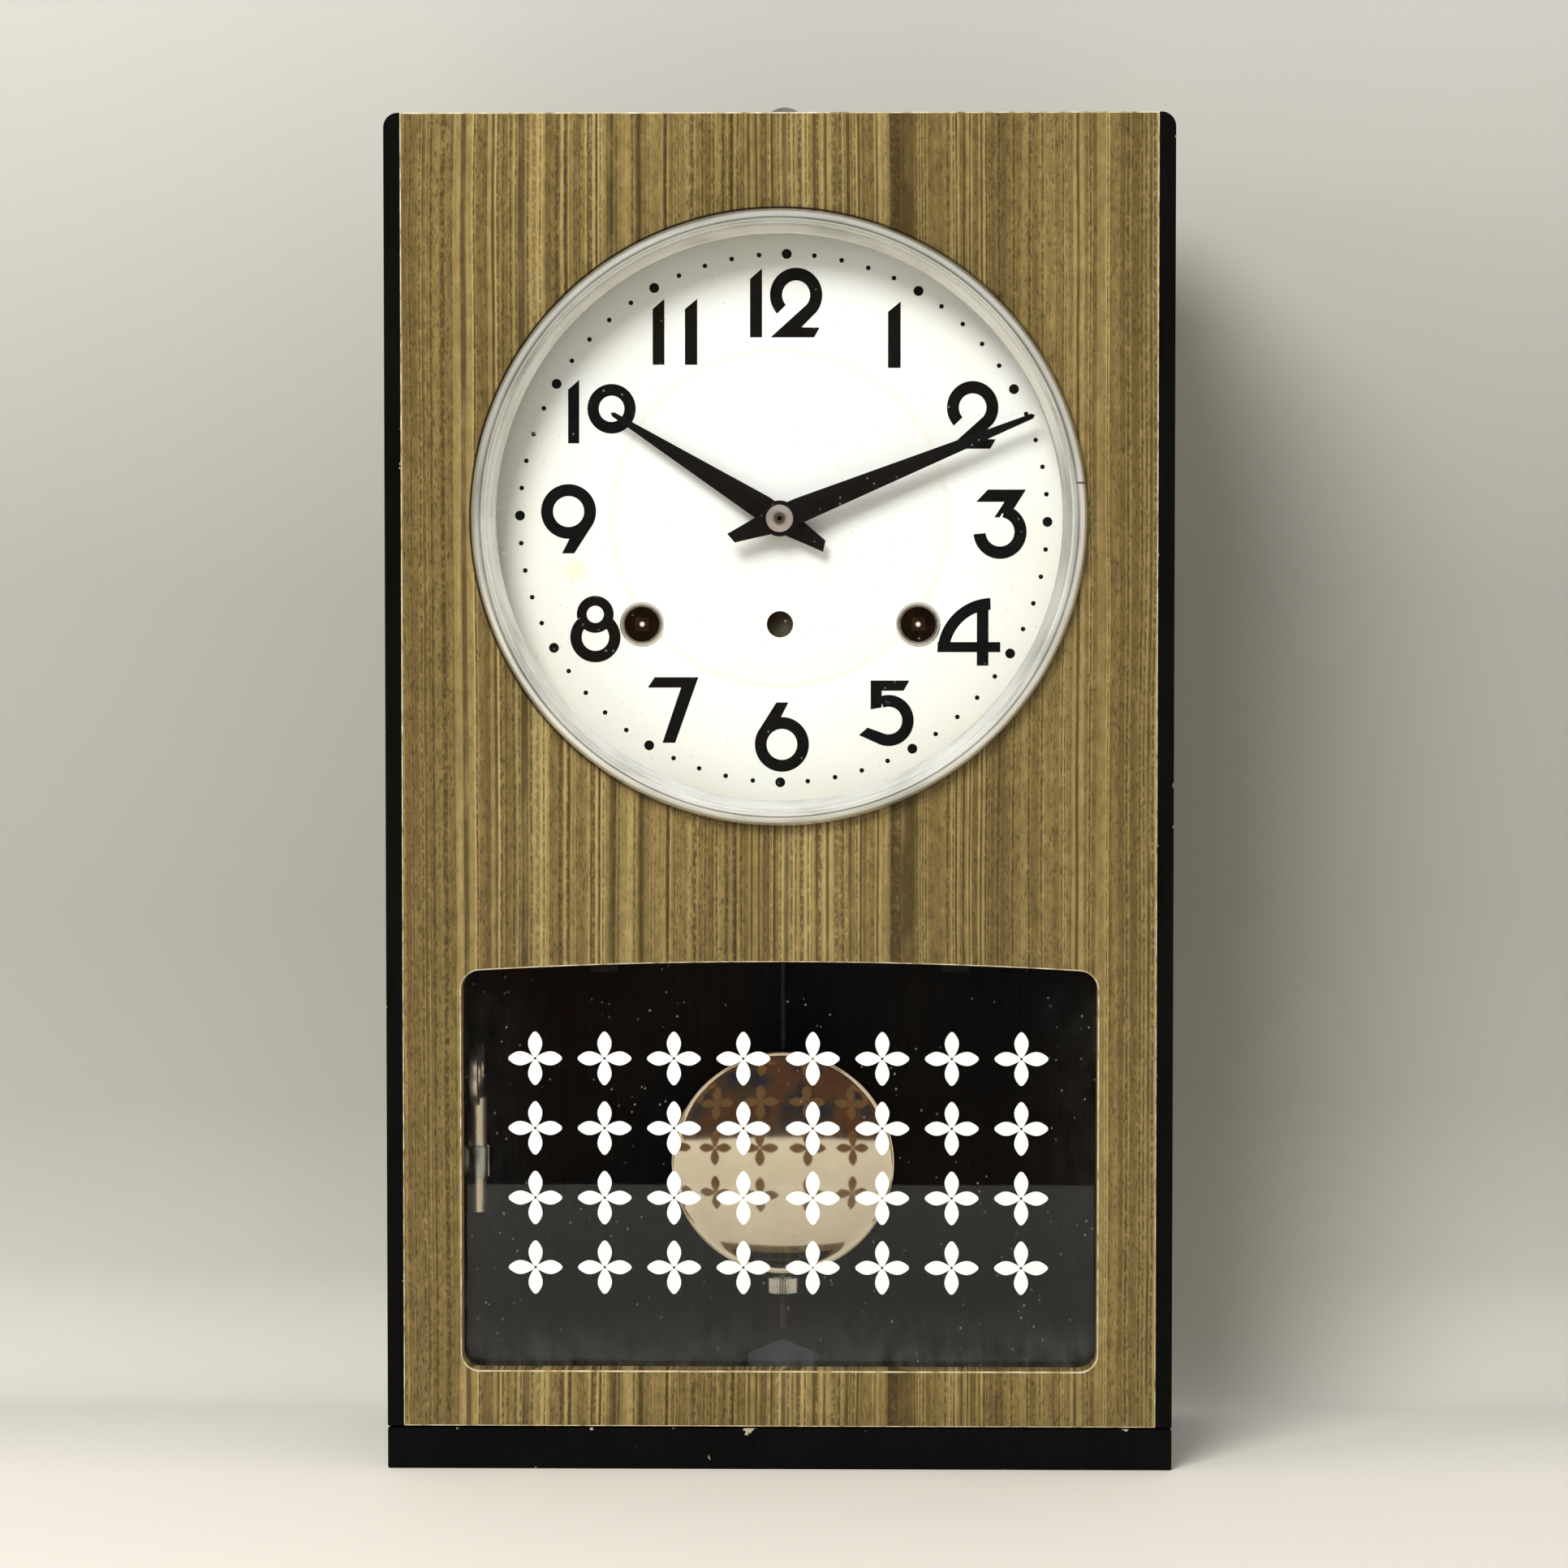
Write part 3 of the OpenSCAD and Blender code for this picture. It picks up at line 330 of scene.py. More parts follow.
def zebraVeneer():
    # uneven strips, each with its own tone, soft dark lines between some, blotches and short open pores
    # the last two entries are the colour and the radius of the painted shadow line round the bezel
    look = {"pale": tone(192, 170, 114), "light": tone(168, 146, 93), "middle": tone(136, 116, 69),
        "dark": tone(101, 83, 46), "line": tone(57, 43, 17), "pore": tone(54, 42, 20),
        "fleck": tone(196, 176, 130), "olive": tone(212, 206, 182), "paintedShadowLine": tone(16, 11, 5), "paintedShadowLineRadius": 0.1042}
    r = Recipe("zebra_wood")
    sway = (r.even(5, 1) - 0.5) * 0.004 + (r.noise(r.stretched(60, 60, 12), 2) - 0.5) * 0.0012
    x = r.axis("X") + sway

    def along(across, down, detail, rough=0.6):
        return r.noise(r.lane(x * across, r.axis("Y") * 4, r.axis("Z") * down), detail, rough)

    def strips(scale, wander):
        place = x * scale + along(scale / 5, 0, 1) * wander
        cell = r.add("ShaderNodeMath", {"operation": "FLOOR"}, {0: place})
        own = r.add("ShaderNodeTexWhiteNoise", {"noise_dimensions": "1D"}, {"W": cell})
        return own, (place - cell - 0.5).size()

    wide, wideMiddle = strips(205, 9)
    thin, thinMiddle = strips(560, 8)
    fine = along(1100, 14, 2)
    soft = along(90, 1.2, 2)
    blotch = r.noise(r.stretched(330, 330, 150), 3, 0.6)
    mix = wide * 0.36 + thin * 0.3 + (fine - 0.5) * 0.34 + (soft - 0.5) * 0.5 + (blotch - 0.5) * 0.5
    wood = r.ramp(mix + 0.06, (0.1, look["dark"]), (0.36, look["middle"]), (0.6, look["light"]),
        (0.86, look["pale"]))
    patchy = along(160, 26, 2).span(0.3, 0.5, 0.55, 1)
    seam = wideMiddle.span(0.07, 0.2, 1, 0) * (wide > 0.42) * patchy
    broken = along(700, 560, 1).span(0.36, 0.52, 0.35, 1)
    thread = thinMiddle.span(0.1, 0.3, 1, 0) * (thin > 0.45) * broken
    wood = r.blend(seam * 0.8, wood, look["line"])
    wood = r.blend(thread * 0.72, wood, look["line"])
    dashes = along(1500, 420, 1).span(0.56, 0.68) * (0.35 + wide.span(0.8, 0.2) * 0.65)
    wood = r.blend(dashes * 0.55, wood, look["pore"])
    flecks = r.noise(r.stretched(620, 620, 300), 1).span(0.68, 0.76)
    wood = r.blend(flecks * 0.12, wood, look["fleck"])
    olive = r.even(5, 2).span(0.3, 0.7)
    wood = r.blend(olive * 0.35, wood, look["olive"], "MULTIPLY")
    # a painted shadow: a dark line round the bezel, strongest at its upper left
    far = r.squareFrom(0, up).root()
    shade = (r.axis("X") * 0.75 - (r.axis("Z") - up) * 0.65).span(-0.06, 0.08, 0.95, 0.3)
    paintedShadowLine = (far - look["paintedShadowLineRadius"]).size().span(0.0004, 0.0009, 1, 0) * shade
    wood = r.blend(paintedShadowLine, wood, look["paintedShadowLine"])
    height = fine * 0.4 - dashes * 0.8 - seam * 0.4 - thread * 0.4
    return r.done(r.surface(wood, fine.span(0.3, 0.7, 0.5, 0.62), 0, r.bump(height, 0.00012, 0.5),
        {"Specular IOR Level": 0.3}))


def wornEdge():
    # bare pale wood where the veneer's edge is rubbed
    r = Recipe("worn_edge")
    flecks = r.even(260)
    wood = r.ramp(flecks, (0.3, tone(132, 112, 76)), (0.46, tone(190, 174, 138)), (0.7, tone(224, 214, 186)))
    return r.done(r.surface(wood, 0.62, 0, r.bump(flecks, 0.0001, 0.4)))


def blackLacquer(name="black_wood", chips=0.72):
    # dull black paint over faint grain, with a few chips down to the wood
    r = Recipe(name)
    cloud = r.even(30)
    grain = r.noise(r.stretched(420, 420, 14), 3)
    paint = r.ramp(cloud, (0.3, tone(5, 5, 4)), (0.7, tone(10, 10, 9)))
    paint = r.blend(grain.span(0.45, 0.7) * 0.3, paint, tone(17, 16, 14))
    spots = r.noise(r.stretched(150, 150, 110), 4, 0.65)
    bare = spots.span(chips, chips + 0.015)
    paint = r.blend(bare, paint, tone(172, 160, 134))
    rough = cloud.span(0.3, 0.7, 0.5, 0.6) + bare * 0.2
    return r.done(r.surface(paint, rough, 0, r.bump(grain - bare * 2, 0.00008, 0.35),
        {"Specular IOR Level": 0.06}))


ply = {"innerFace": 0.0492, "blackLow": 0.013, "blackHigh": 0.0145}


def rawPly():
    # brown ply outside, black on the face that looks into the case above the base
    r = Recipe("plywood")
    grain = r.noise(r.stretched(38, 38, 3.5), 4, 0.6, 0.6)
    fine = r.noise(r.stretched(700, 700, 40), 2)
    wood = r.ramp(grain * 0.8 + fine * 0.2, (0.3, tone(104, 80, 54)), (0.52, tone(139, 110, 76)),
        (0.72, tone(160, 131, 95)))
    inside = r.axis("Y") < ply["innerFace"]
    wood = r.blend(inside * r.axis("Z").span(ply["blackLow"], ply["blackHigh"]), wood, tone(8, 7, 6))
    return r.done(r.surface(wood, fine.span(0.3, 0.7, 0.6, 0.78), 0, r.bump(grain + fine * 0.5, 0.00015, 0.5),
        {"Specular IOR Level": 0.2}))


def metal(name, low, high, rough, grain=(900, 900, 900), worn=0.0, dull=None):
    # plated or bare metal with a fine grain and cloudy tarnish
    r = Recipe(name)
    cloud = r.even(55, 4, 0.6)
    lines = r.noise(r.stretched(*grain), 2)
    colour = r.ramp(cloud, (0.32, low), (0.68, high))
    if dull:
        spots = r.even(190, 5, 0.7).span(0.6, 0.72)
        colour = r.blend(spots * worn, colour, dull)
    grey = cloud.span(0.3, 0.7, rough * 0.8, rough * 1.3) + (lines - 0.5) * rough * 0.5
    return r.done(r.surface(colour, grey, 1, r.bump(lines, 0.00002, 0.25)))


def bezelChrome():
    # satin plate with a painted reflection that darkens it towards the top, soft streaks round the ring and one
    # joint at its right
    jointHeight, jointSide = 0.3353, 0.1
    r = Recipe("bezel_chrome")
    rise = r.axis("Z") - up
    far = r.squareFrom(0, up).root()
    turn = rise.maths("ARCTAN2", rise, r.axis("X"))
    streak = r.noise(r.lane(far * 300, turn * 4, r.axis("Y") * 120), 2, 0.5)
    plate = r.ramp(streak * 0.6 + r.even(26) * 0.4, (0.3, tone(182, 184, 176)), (0.48, tone(226, 225, 217)),
        (0.66, tone(244, 244, 238)))
    # painted reflection: the plate is darkened towards the top
    plate = r.blend(rise.span(-0.05, 0.1) * 0.5, plate, tone(150, 148, 136))
    joint = (r.axis("Z") - jointHeight).size().span(0.0002, 0.0005, 1, 0) * (r.axis("X") > jointSide)
    plate = r.blend(joint * 0.8, plate, tone(45, 42, 36))
    rough = streak.span(0.35, 0.65, 0.2, 0.3) + joint * 0.3
    return r.done(r.surface(plate, rough, 0.8, r.bump(streak * 0.15 - joint, 0.0002, 0.2)))


def enamel():
    # warm white, faintly yellow towards the rim, on the pressed ring and in one round stain
    oldStain = (-69.8, -17.5)      # from the dial centre, in mm
    r = Recipe("dial_enamel")
    far = r.squareFrom(0, up) * 100
    onRing = (far - (dial["ringRadius"] / 100) ** 2).size()
    stain = r.even(22)
    speck = r.even(600, 2)
    white = r.ramp(stain, (0.35, tone(250, 250, 247)), (0.7, tone(249, 248, 241)))
    white = r.blend(far.span(0.45, 1.0) * stain.span(0.3, 0.6) * 0.6, white, tone(247, 243, 222))
    white = r.blend(onRing.span(0.004, 0.012, 0.5, 0), white, tone(244, 238, 216))
    spot = r.squareFrom(oldStain[0] * mm, up + oldStain[1] * mm) * 1000000
    white = r.blend(spot.span(6, 22, 0.45, 0), white, tone(246, 238, 190))
    return r.done(r.surface(white, stain.span(0.3, 0.7, 0.4, 0.46) + speck * 0.02, 0))


def printed(name, low, high, rough, gloss=0.5):
    # even paint or ink, a little clouded
    r = Recipe(name)
    ink = r.even(420)
    return r.done(r.surface(r.ramp(ink, (0.35, low), (0.7, high)), ink.span(0.3, 0.7, rough, rough + 0.1), 0,
        r.bump(ink, 0.000006, 0.2), {"Specular IOR Level": gloss}))


def paneGlass():
    # clear pane with sparse specks, and a film of dust along its lower edge and sides
    r = Recipe("clear_glass")
    clear = r.add("ShaderNodeBsdfTransparent", None, {"Color": (0.994, 0.997, 0.995, 1)})
    shine = r.add("ShaderNodeBsdfGlossy", None, {"Color": (1, 1, 1, 1), "Roughness": 0.01})
    slant = r.add("ShaderNodeLayerWeight", None, {"Blend": 0.5}, "Facing")
    square = slant * slant
    pane = r.add("ShaderNodeMixShader", None, {0: 0.015 + square * square * slant * 0.9, 1: clear, 2: shine})
    edge = r.axis("X").size().span(0.07, 0.108)
    low = r.axis("Z").span(0.03, 0.062, 1, 0)
    dots = r.add("ShaderNodeTexVoronoi", {"feature": "F1"}, {"Vector": r.stretched(1, 0, 1), "Scale": 300})
    chance = r.even(60) + edge * 0.06 + low * 0.06
    specks = dots.span(0.07, 0.13, 1, 0) * chance.span(0.46, 0.62)
    film = r.noise(r.stretched(210, 210, 90), 4, 0.7).span(0.35, 0.75)
    amount = specks * 0.22 + film * (low * low * 0.1 + edge * edge * 0.02)
    dust = r.add("ShaderNodeBsdfDiffuse", None, {"Color": tone(190, 187, 178)})
    return r.done(r.add("ShaderNodeMixShader", None, {0: amount, 1: pane, 2: dust}))


def petalCoat():
    # opaque white from the front; the back faces glow brown, painted light that stands in for light seen through
    # the ink
    r = Recipe("petal_ink")
    ink = r.even(420)
    white = r.ramp(ink, (0.35, tone(244, 244, 238)), (0.7, tone(252, 252, 248)))
    # painted light: the faces towards the inside of the case glow brown though no lamp is there
    behind = r.axis("Y") > paneFront - 0.00003
    glow = r.blend(behind, (0, 0, 0, 1), tone(112, 84, 52))
    return r.done(r.surface(white, ink.span(0.3, 0.7, 0.5, 0.6), 0, None,
        {"Emission Color": glow, "Emission Strength": 1}))


def darkPlastic():
    # moulded body of the magnet catch
    r = Recipe("catch_plastic")
    speck = r.even(800, 2)
    return r.done(r.surface(r.ramp(speck, (0.3, tone(30, 30, 31)), (0.7, tone(44, 44, 45))), 0.5, 0,
        r.bump(speck, 0.00003, 0.4)))


print("materials")
brass = {"low": tone(176, 146, 84), "high": tone(206, 178, 112)}
finish = {
    "black_wood": blackLacquer(),
    "plywood": rawPly(),
    "zebra_wood": zebraVeneer(),
    "zinc_steel": metal("zinc_steel", tone(138, 139, 136), tone(176, 177, 172), 0.38,
        worn=0.6, dull=tone(110, 96, 74)),
    "bright_steel": metal("bright_steel", tone(168, 171, 166), tone(204, 207, 200), 0.3,
        worn=0.25, dull=tone(118, 110, 96)),
    "hinge_brass": metal("hinge_brass", tone(140, 118, 74), tone(172, 150, 100), 0.36,
        worn=0.7, dull=tone(84, 70, 44)),
    "movement_brass": metal("movement_brass", brass["low"], brass["high"], 0.3, (60, 900, 900),
        worn=0.5, dull=tone(120, 96, 50)),
    "rod_brass": metal("rod_brass", tone(58, 48, 34), tone(84, 70, 52), 0.36,
        worn=0.6, dull=tone(70, 56, 38)),
    "catch_plastic": darkPlastic(),
    "blue_grey_paint": printed("blue_grey_paint", tone(38, 44, 50), tone(52, 59, 66), 0.5, 0.3),
    "iron_block": printed("iron_block", tone(34, 34, 35), tone(52, 52, 52), 0.55),
    "dial_enamel": enamel(),
    "nickel_plate": metal("nickel_plate", tone(214, 208, 194), tone(240, 236, 224), 0.26,
        worn=0.4, dull=tone(150, 134, 104)),
    "bezel_chrome": bezelChrome(),
    "clear_glass": paneGlass(),
    "hand_black": printed("hand_black", tone(4, 4, 5), tone(9, 8, 8), 0.42, 0.22),
    "spring_steel": metal("spring_steel", tone(60, 72, 92), tone(92, 104, 122), 0.3),
    "bob_nickel": metal("bob_nickel", tone(202, 190, 169), tone(212, 200, 180), 0.05, (120, 120, 120),
        worn=0.12, dull=tone(176, 156, 124)),
    "nut_satin": metal("nut_satin", tone(196, 184, 176), tone(222, 212, 204), 0.5,
        worn=0.3, dull=tone(150, 138, 128)),
    # painted light: this tone is lighter than the key's own copper, to make up for the dim light where it hangs
    "key_copper": metal("key_copper", tone(224, 204, 184), tone(242, 228, 212), 0.36,
        worn=0.5, dull=tone(140, 104, 84)),
}
edgeWood = wornEdge()
chippedBlack = blackLacquer("chipped_black", 0.66)
dialInk = printed("dial_ink", tone(5, 6, 5), tone(13, 14, 11), 0.5, 0.15)
petalInk = petalCoat()


def dress(piece, slot, *extra):
    # puts on a slot's finish, and a second one on bevelled edges
    chosen = [finish[slot], *extra]
    if not piece.data.materials:
        twoSlots(piece)
    for index in range(2):
        piece.data.materials[index] = chosen[min(index, len(chosen) - 1)]
    return piece


def arborSteel():
    # browned steel with a painted glint: a small white, non-metal spot in the centre of its end
    glintFrom = -0.02        # only in front of this is the glint painted on the end
    r = Recipe("arbor_steel")
    side = r.axis("X").size() - dial["windX"] * mm
    rise = r.axis("Z") - (up - dial["windDrop"] * mm)
    tip = ((side * side + rise * rise) * 1000000).span(0.3, 1.1, 1, 0) * (r.axis("Y") < glintFrom)
    cloud = r.even(300)
    steel = r.ramp(cloud, (0.3, tone(64, 48, 30)), (0.7, tone(92, 74, 50)))
    # painted highlight: a white spot on the arbor's end
    steel = r.blend(tip, steel, tone(250, 240, 232))
    return r.done(r.surface(steel, 0.45 - tip * 0.1, 1 - tip, r.bump(cloud, 0.00002, 0.3)))


def centreSteel():
    # brass wheel whose arbor shows as grey steel, with painted shade for the pin hole in its end at the hand nut
    endFrom = -0.0445      # the arbor's end lies in front of this
    r = Recipe("centre_steel")
    near = r.squareFrom(0, up) * 1000000
    cloud = r.even(300)
    coat = r.ramp(cloud, (0.3, brass["low"]), (0.7, brass["high"]))
    front = r.axis("Y") < endFrom
    coat = r.blend(front, coat, tone(166, 160, 154))
    # painted shade: a dark spot stands for the shadowed hole in the arbor's end
    coat = r.blend(front * near.span(0.5, 0.9, 1, 0), coat, tone(26, 20, 18))
    return r.done(r.surface(coat, 0.35, 1, r.bump(cloud, 0.00001, 0.3)))


def stemSteel():
    # darkened above the bob as painted shade, brassy on the threaded end below it
    threadTop = 0.06
    r = Recipe("stem_steel")
    cloud = r.even(300)
    # painted shade: the stem is dark down to the threaded end
    coat = r.ramp(cloud, (0.3, tone(30, 27, 24)), (0.7, tone(50, 45, 38)))
    coat = r.blend(r.axis("Z") < threadTop, coat, tone(140, 124, 96))
    return r.done(r.surface(coat, cloud.span(0.3, 0.7, 0.34, 0.46), 0.9, r.bump(cloud, 0.00002, 0.3)))


def blackedSteel():
    # for the clips that hold the panes
    r = Recipe("blacked_steel")
    cloud = r.even(300)
    return r.done(r.surface(r.ramp(cloud, (0.3, tone(22, 21, 20)), (0.7, tone(36, 34, 32))), 0.5, 0.4,
        r.bump(cloud, 0.00001, 0.3)))


# every solid wears its slot's finish, also where no softer copy takes its place
for part in frame["record"]["subparts"]:
    node = frame["nodes"][part["node"]]
    node.data.materials.clear()
    node.data.materials.append(finish[part["material_slot"]])


print("case")
case = {"edge": 0.7, "board": 0.5, "strip": 0.6}
for node, name, width in (("base_board", "case_base", case["edge"]),
        ("side_board_left", "case_side_left", case["edge"]),
        ("side_board_right", "case_side_right", case["edge"]), ("top_board", "case_top", case["board"])):
    dress(softened(node, name, "case", width, 3, 1.0, 1), "black_wood", chippedBlack)
dress(softened("back_board", "case_back", "case", case["board"], 2), "plywood")
dress(softened("door_strips", "door_edge_strips", "door", case["strip"], 3, 1.0, 1), "black_wood", chippedBlack)


door = {"width": 256, "low": 14.6, "high": 460, "hole": 98.3, "edge": 0.45,
    "windowWidth": 216, "windowLow": 33.7, "windowHeight": 136.2, "rise": 3.3, "corner": 6, "lap": 5.1,
    "recess": 2.1}


def windowCutter(grow, y0, y1):
    # a flat-sided block with an arched top and rounded corners
    half = (door["windowWidth"] / 2 + grow) * mm
    low = (door["windowLow"] - grow) * mm
    high = (door["windowLow"] + door["windowHeight"] + grow) * mm
    deselectAll()
    bpy.ops.mesh.primitive_grid_add(x_subdivisions=24, y_subdivisions=1, size=1, rotation=(math.pi / 2, 0, 0))
    cutter = settle(named("cutter"))
    for vertex in cutter.data.vertices:
        share = vertex.co.x * 2
        arch = door["rise"] * mm * (1 - share * share)
        vertex.co = (share * half, y0, high + arch if vertex.co.z > 0 else low)
    pick(cutter, "VERT", lambda v: abs(abs(v.co.x) - half) < 1e-6)
    bpy.ops.mesh.bevel(offset=door["corner"] * mm, segments=8, affect="VERTICES")
    bpy.ops.mesh.select_all(action="SELECT")
    bpy.ops.mesh.dissolve_faces()
    bpy.ops.mesh.select_all(action="SELECT")
    bpy.ops.mesh.extrude_region_move(TRANSFORM_OT_translate={"value": (0, y1 - y0, 0)})
    bpy.ops.object.mode_set(mode="OBJECT")
    return closeUp(cutter)


def doorBoard():
    deselectAll()
    tall = (door["high"] - door["low"]) * mm
    bpy.ops.mesh.primitive_cube_add(size=1, scale=(door["width"] * mm, doorBack - doorFront, tall),
        location=(0, (doorFront + doorBack) / 2, door["low"] * mm + tall / 2))
    board = settle(named("door_panel"))
    carve(board, rod("cutter", 0, up, door["hole"] * mm, doorFront - 0.01, doorBack + 0.01, 256),
        windowCutter(0, doorFront - 0.01, doorBack + 0.01),
        windowCutter(door["lap"], doorBack - door["recess"] * mm, doorBack + 0.01))
    twoSlots(board)
    chamfer(board, door["edge"] * mm, 2, 40, 1)
    smooth(board, 25)
    dress(board, "zebra_wood", edgeWood)
    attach(board, "door")
    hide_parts("door_board")


print("door")
doorBoard()


bezel = {"inner": 95.6, "outer": 103.9, "height": 5.6, "steps": 240,
    "tubeInner": 97.35, "tubeOuter": 98.15, "tubeLong": 10.9}


def bezelRing():
    # section in mm: radius and how far it stands in front of the door; then the tube behind
    o, i, h = bezel["outer"], bezel["inner"], bezel["height"]
    seat = 0.02
    bead = [(o, seat), (o, h - 3.0), (o - 0.25, h - 2.1), (o - 0.8, h - 1.3), (o - 1.5, h - 0.65),
        (o - 2.3, h - 0.2), (o - 3.1, h)]
    slope = [(o - 3.8, h - 0.25), (o - 4.3, h - 0.8), (o - 4.7, h - 1.5), (o - 5.1, h - 2.2),
        (o - 5.6, h - 2.75), (o - 6.3, h - 3.2), (o - 7.0, h - 3.7), (o - 7.6, h - 4.2)]
    lip = [(i + 0.35, h - 4.4), (i + 0.05, h - 4.5), (i, h - 4.7), (i, seat)]
    tube = [(bezel["tubeInner"], seat), (bezel["tubeInner"], -bezel["tubeLong"]),
        (bezel["tubeOuter"], -bezel["tubeLong"]), (bezel["tubeOuter"], seat)]
    section = [(r * mm, -y * mm) for r, y in bead + slope + lip + tube]
    ring = turned("bezel_ring", section, (0, doorFront, up), steps=bezel["steps"])
    smooth(ring, 40)
    dress(ring, "bezel_chrome")
    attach(ring, "door")
    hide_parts("bezel")


print("bezel")
bezelRing()


def dialPlate():
    # a disc with a faint pressed ring, and its four holes
    back, edge = dial["thick"], dial["radius"]
    mark = dial["ringRadius"]
    section = [(0, 0), (30, 0), (mark - 1.4, 0), (mark - 0.9, 0.05), (mark, 0.12), (mark + 0.9, 0.05),
        (mark + 1.4, 0), (80, 0), (edge - 0.3, 0), (edge, 0.25), (edge, back), (50, back), (0, back)]
    plate = turned("dial_face", [(r * mm, y * mm) for r, y in section], (0, dialFace, up), steps=192, ring=False)
    side, drop = dial["windX"], -dial["windDrop"]
    holes = [(0, 0, dial["centreHole"]), (0, drop, dial["setHole"]), (-side, drop, dial["windHole"]),
        (side, drop, dial["windHole"])]
    carve(plate, *[rod("cutter", x * mm, up + z * mm, r * mm, dialFace - 0.005, dialFace + 0.005, 64)
        for x, z, r in holes])
    smooth(plate, 30)
    dress(plate, "dial_enamel")
    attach(plate, "case")
    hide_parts("dial_plate")


# strokes of each figure in mm from its lower left corner: a bar lists its corners, an arc gives its
# centre, inner and outer radius and two angles, and the nine is a six turned over
strokes = {
    "0": [("arc", 8.3, 8.3, 4.4, 8.3, 0, 360)],
    "1": [("bar", (0, 0), (4.1, 0), (4.1, 22.6), (0, 19.1))],
    "2": [("arc", 8.9, 14.2, 4.9, 9.15, -42, 223),
        ("bar", (0, 0), (15.2, 0), (17.1, 3.25), (10.75, 3.35), (16.0, 8.5), (12.5, 10.9))],
    "3": [("arc", 8.9, 9.05, 4.9, 9.05, -175, 80),
        ("bar", (4.74, 23.2), (17.7, 23.2), (13.6, 16.8), (9.6, 15.2), (8.8, 13.95), (6.96, 13.85),
            (10.4, 19.1), (0.8, 19.1))],
    "4": [("arc", 19, 4, 15, 19, 92, 177), ("bar", (13.7, 0), (17.7, 0), (17.7, 23.0), (13.7, 22.2)),
        ("bar", (0, 4.6), (21.8, 4.6), (21.8, 8.0), (0.2, 8.0))],
    "5": [("arc", 10.4, 8.86, 4.8, 8.86, -115, 112), ("bar", (0, 3.8), (6.8, 0.8), (8.4, 4.5), (3.0, 6.4)),
        ("bar", (4.1, 12.7), (8.0, 13.4), (8.0, 22.7), (4.1, 22.7)),
        ("bar", (4.1, 19.2), (15.7, 19.2), (17.7, 22.7), (4.1, 22.7))],
    "6": [("arc", 9.36, 9.36, 5.3, 9.36, 0, 360),
        ("bar", (7.46, 23.7), (0.95, 13.5), (4.6, 13.4), (6.2, 15.8), (8.9, 18.4), (11.6, 23.7))],
    "7": [("bar", (0, 18.7), (11.8, 18.7), (17.6, 22.2), (2.4, 22.2)),
        ("bar", (5.1, 0), (9.5, 0), (17.6, 22.2), (11.6, 18.8))],
    "8": [("arc", 8.8, 8.8, 4.8, 8.8, 127, 413), ("arc", 8.75, 16.75, 3.0, 6.45, 0, 360)],
    "9": [("turned", "6")],
}

# figure, left and right edge from the centre, lower and upper edge from the centre, in mm
figures = [
    ("twelve_1", "1", -11.4, -7.3, 61.7, 85.1), ("twelve_2", "2", -4.6, 13.2, 61.7, 85.3),
    ("one", "1", 35.6, 39.9, 51.3, 73.8), ("two", "2", 55.7, 73.2, 23.8, 46.8),
    ("three", "3", 64.8, 82.9, -13.7, 9.9), ("four", "4", 52.5, 74.0, -50.1, -27.0),
    ("five", "5", 25.8, 44.5, -77.6, -55.2), ("six", "6", -9.8, 8.7, -86.4, -62.7),
    ("seven", "7", -46.4, -29.1, -76.5, -54.1), ("eight", "8", -72.9, -55.7, -49.0, -26.3),
    ("nine", "9", -82.8, -64.0, -11.8, 11.8),
    ("ten_1", "1", -73.5, -69.7, 25.7, 47.3), ("ten_0", "0", -66.9, -50.4, 29.0, 45.9),
    ("eleven_1", "1", -44.6, -40.6, 52.4, 74.8), ("eleven_2", "1", -33.6, -29.4, 52.4, 74.8)]


def arcStroke(cx, cz, inner, outer, first, last):
    steps = max(8, int(abs(last - first) / 5))
    deselectAll()
    bpy.ops.mesh.primitive_grid_add(x_subdivisions=steps, y_subdivisions=1, size=1)
    piece = named("stroke")
    for vertex in piece.data.vertices:
        angle = math.radians(first + (last - first) * (vertex.co.x + 0.5))
        r = outer if vertex.co.y > 0 else inner
        vertex.co = (cx + r * math.cos(angle), 0, cz + r * math.sin(angle))
    return piece


def barStroke(corners):
    deselectAll()
    bpy.ops.mesh.primitive_circle_add(vertices=len(corners), radius=1, fill_type="NGON")
    piece = named("stroke")
    for vertex, (x, z) in zip(piece.data.vertices, corners):
        vertex.co = (x, 0, z)
    return piece


def figure(name, kind, left, right, low, high):
    # the strokes of one figure, stretched to its place on the dial
    turnedOver = strokes[kind][0][0] == "turned"
    parts = strokes[strokes[kind][0][1]] if turnedOver else strokes[kind]
    made = [arcStroke(*part[1:]) if part[0] == "arc" else barStroke(part[1:]) for part in parts]
    for layer, stroke in enumerate(made):
        # each stroke lies a hair over the one before, so that no two faces share a plane
        pick(stroke, "FACE", lambda face: True)
        bpy.ops.mesh.extrude_region_move(TRANSFORM_OT_translate={"value": (0, -0.00006 - 0.00001 * layer, 0)})
        bpy.ops.object.mode_set(mode="OBJECT")
        closeUp(stroke)
    piece = merged("figure_" + name, made)
    for vertex in piece.data.vertices:
        vertex.co.y += dialFace
    xs = [v.co.x for v in piece.data.vertices]
    zs = [v.co.z for v in piece.data.vertices]
    wide, tall = max(xs) - min(xs), max(zs) - min(zs)
    for vertex in piece.data.vertices:
        a, b = (vertex.co.x - min(xs)) / wide, (vertex.co.z - min(zs)) / tall
        if turnedOver:
            a, b = 1 - a, 1 - b
        vertex.co.x = (left + (right - left) * a + dial["printX"]) * mm
        vertex.co.z = up + (low + (high - low) * b) * mm
    piece.data.materials.append(dialInk)
    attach(piece, "case")


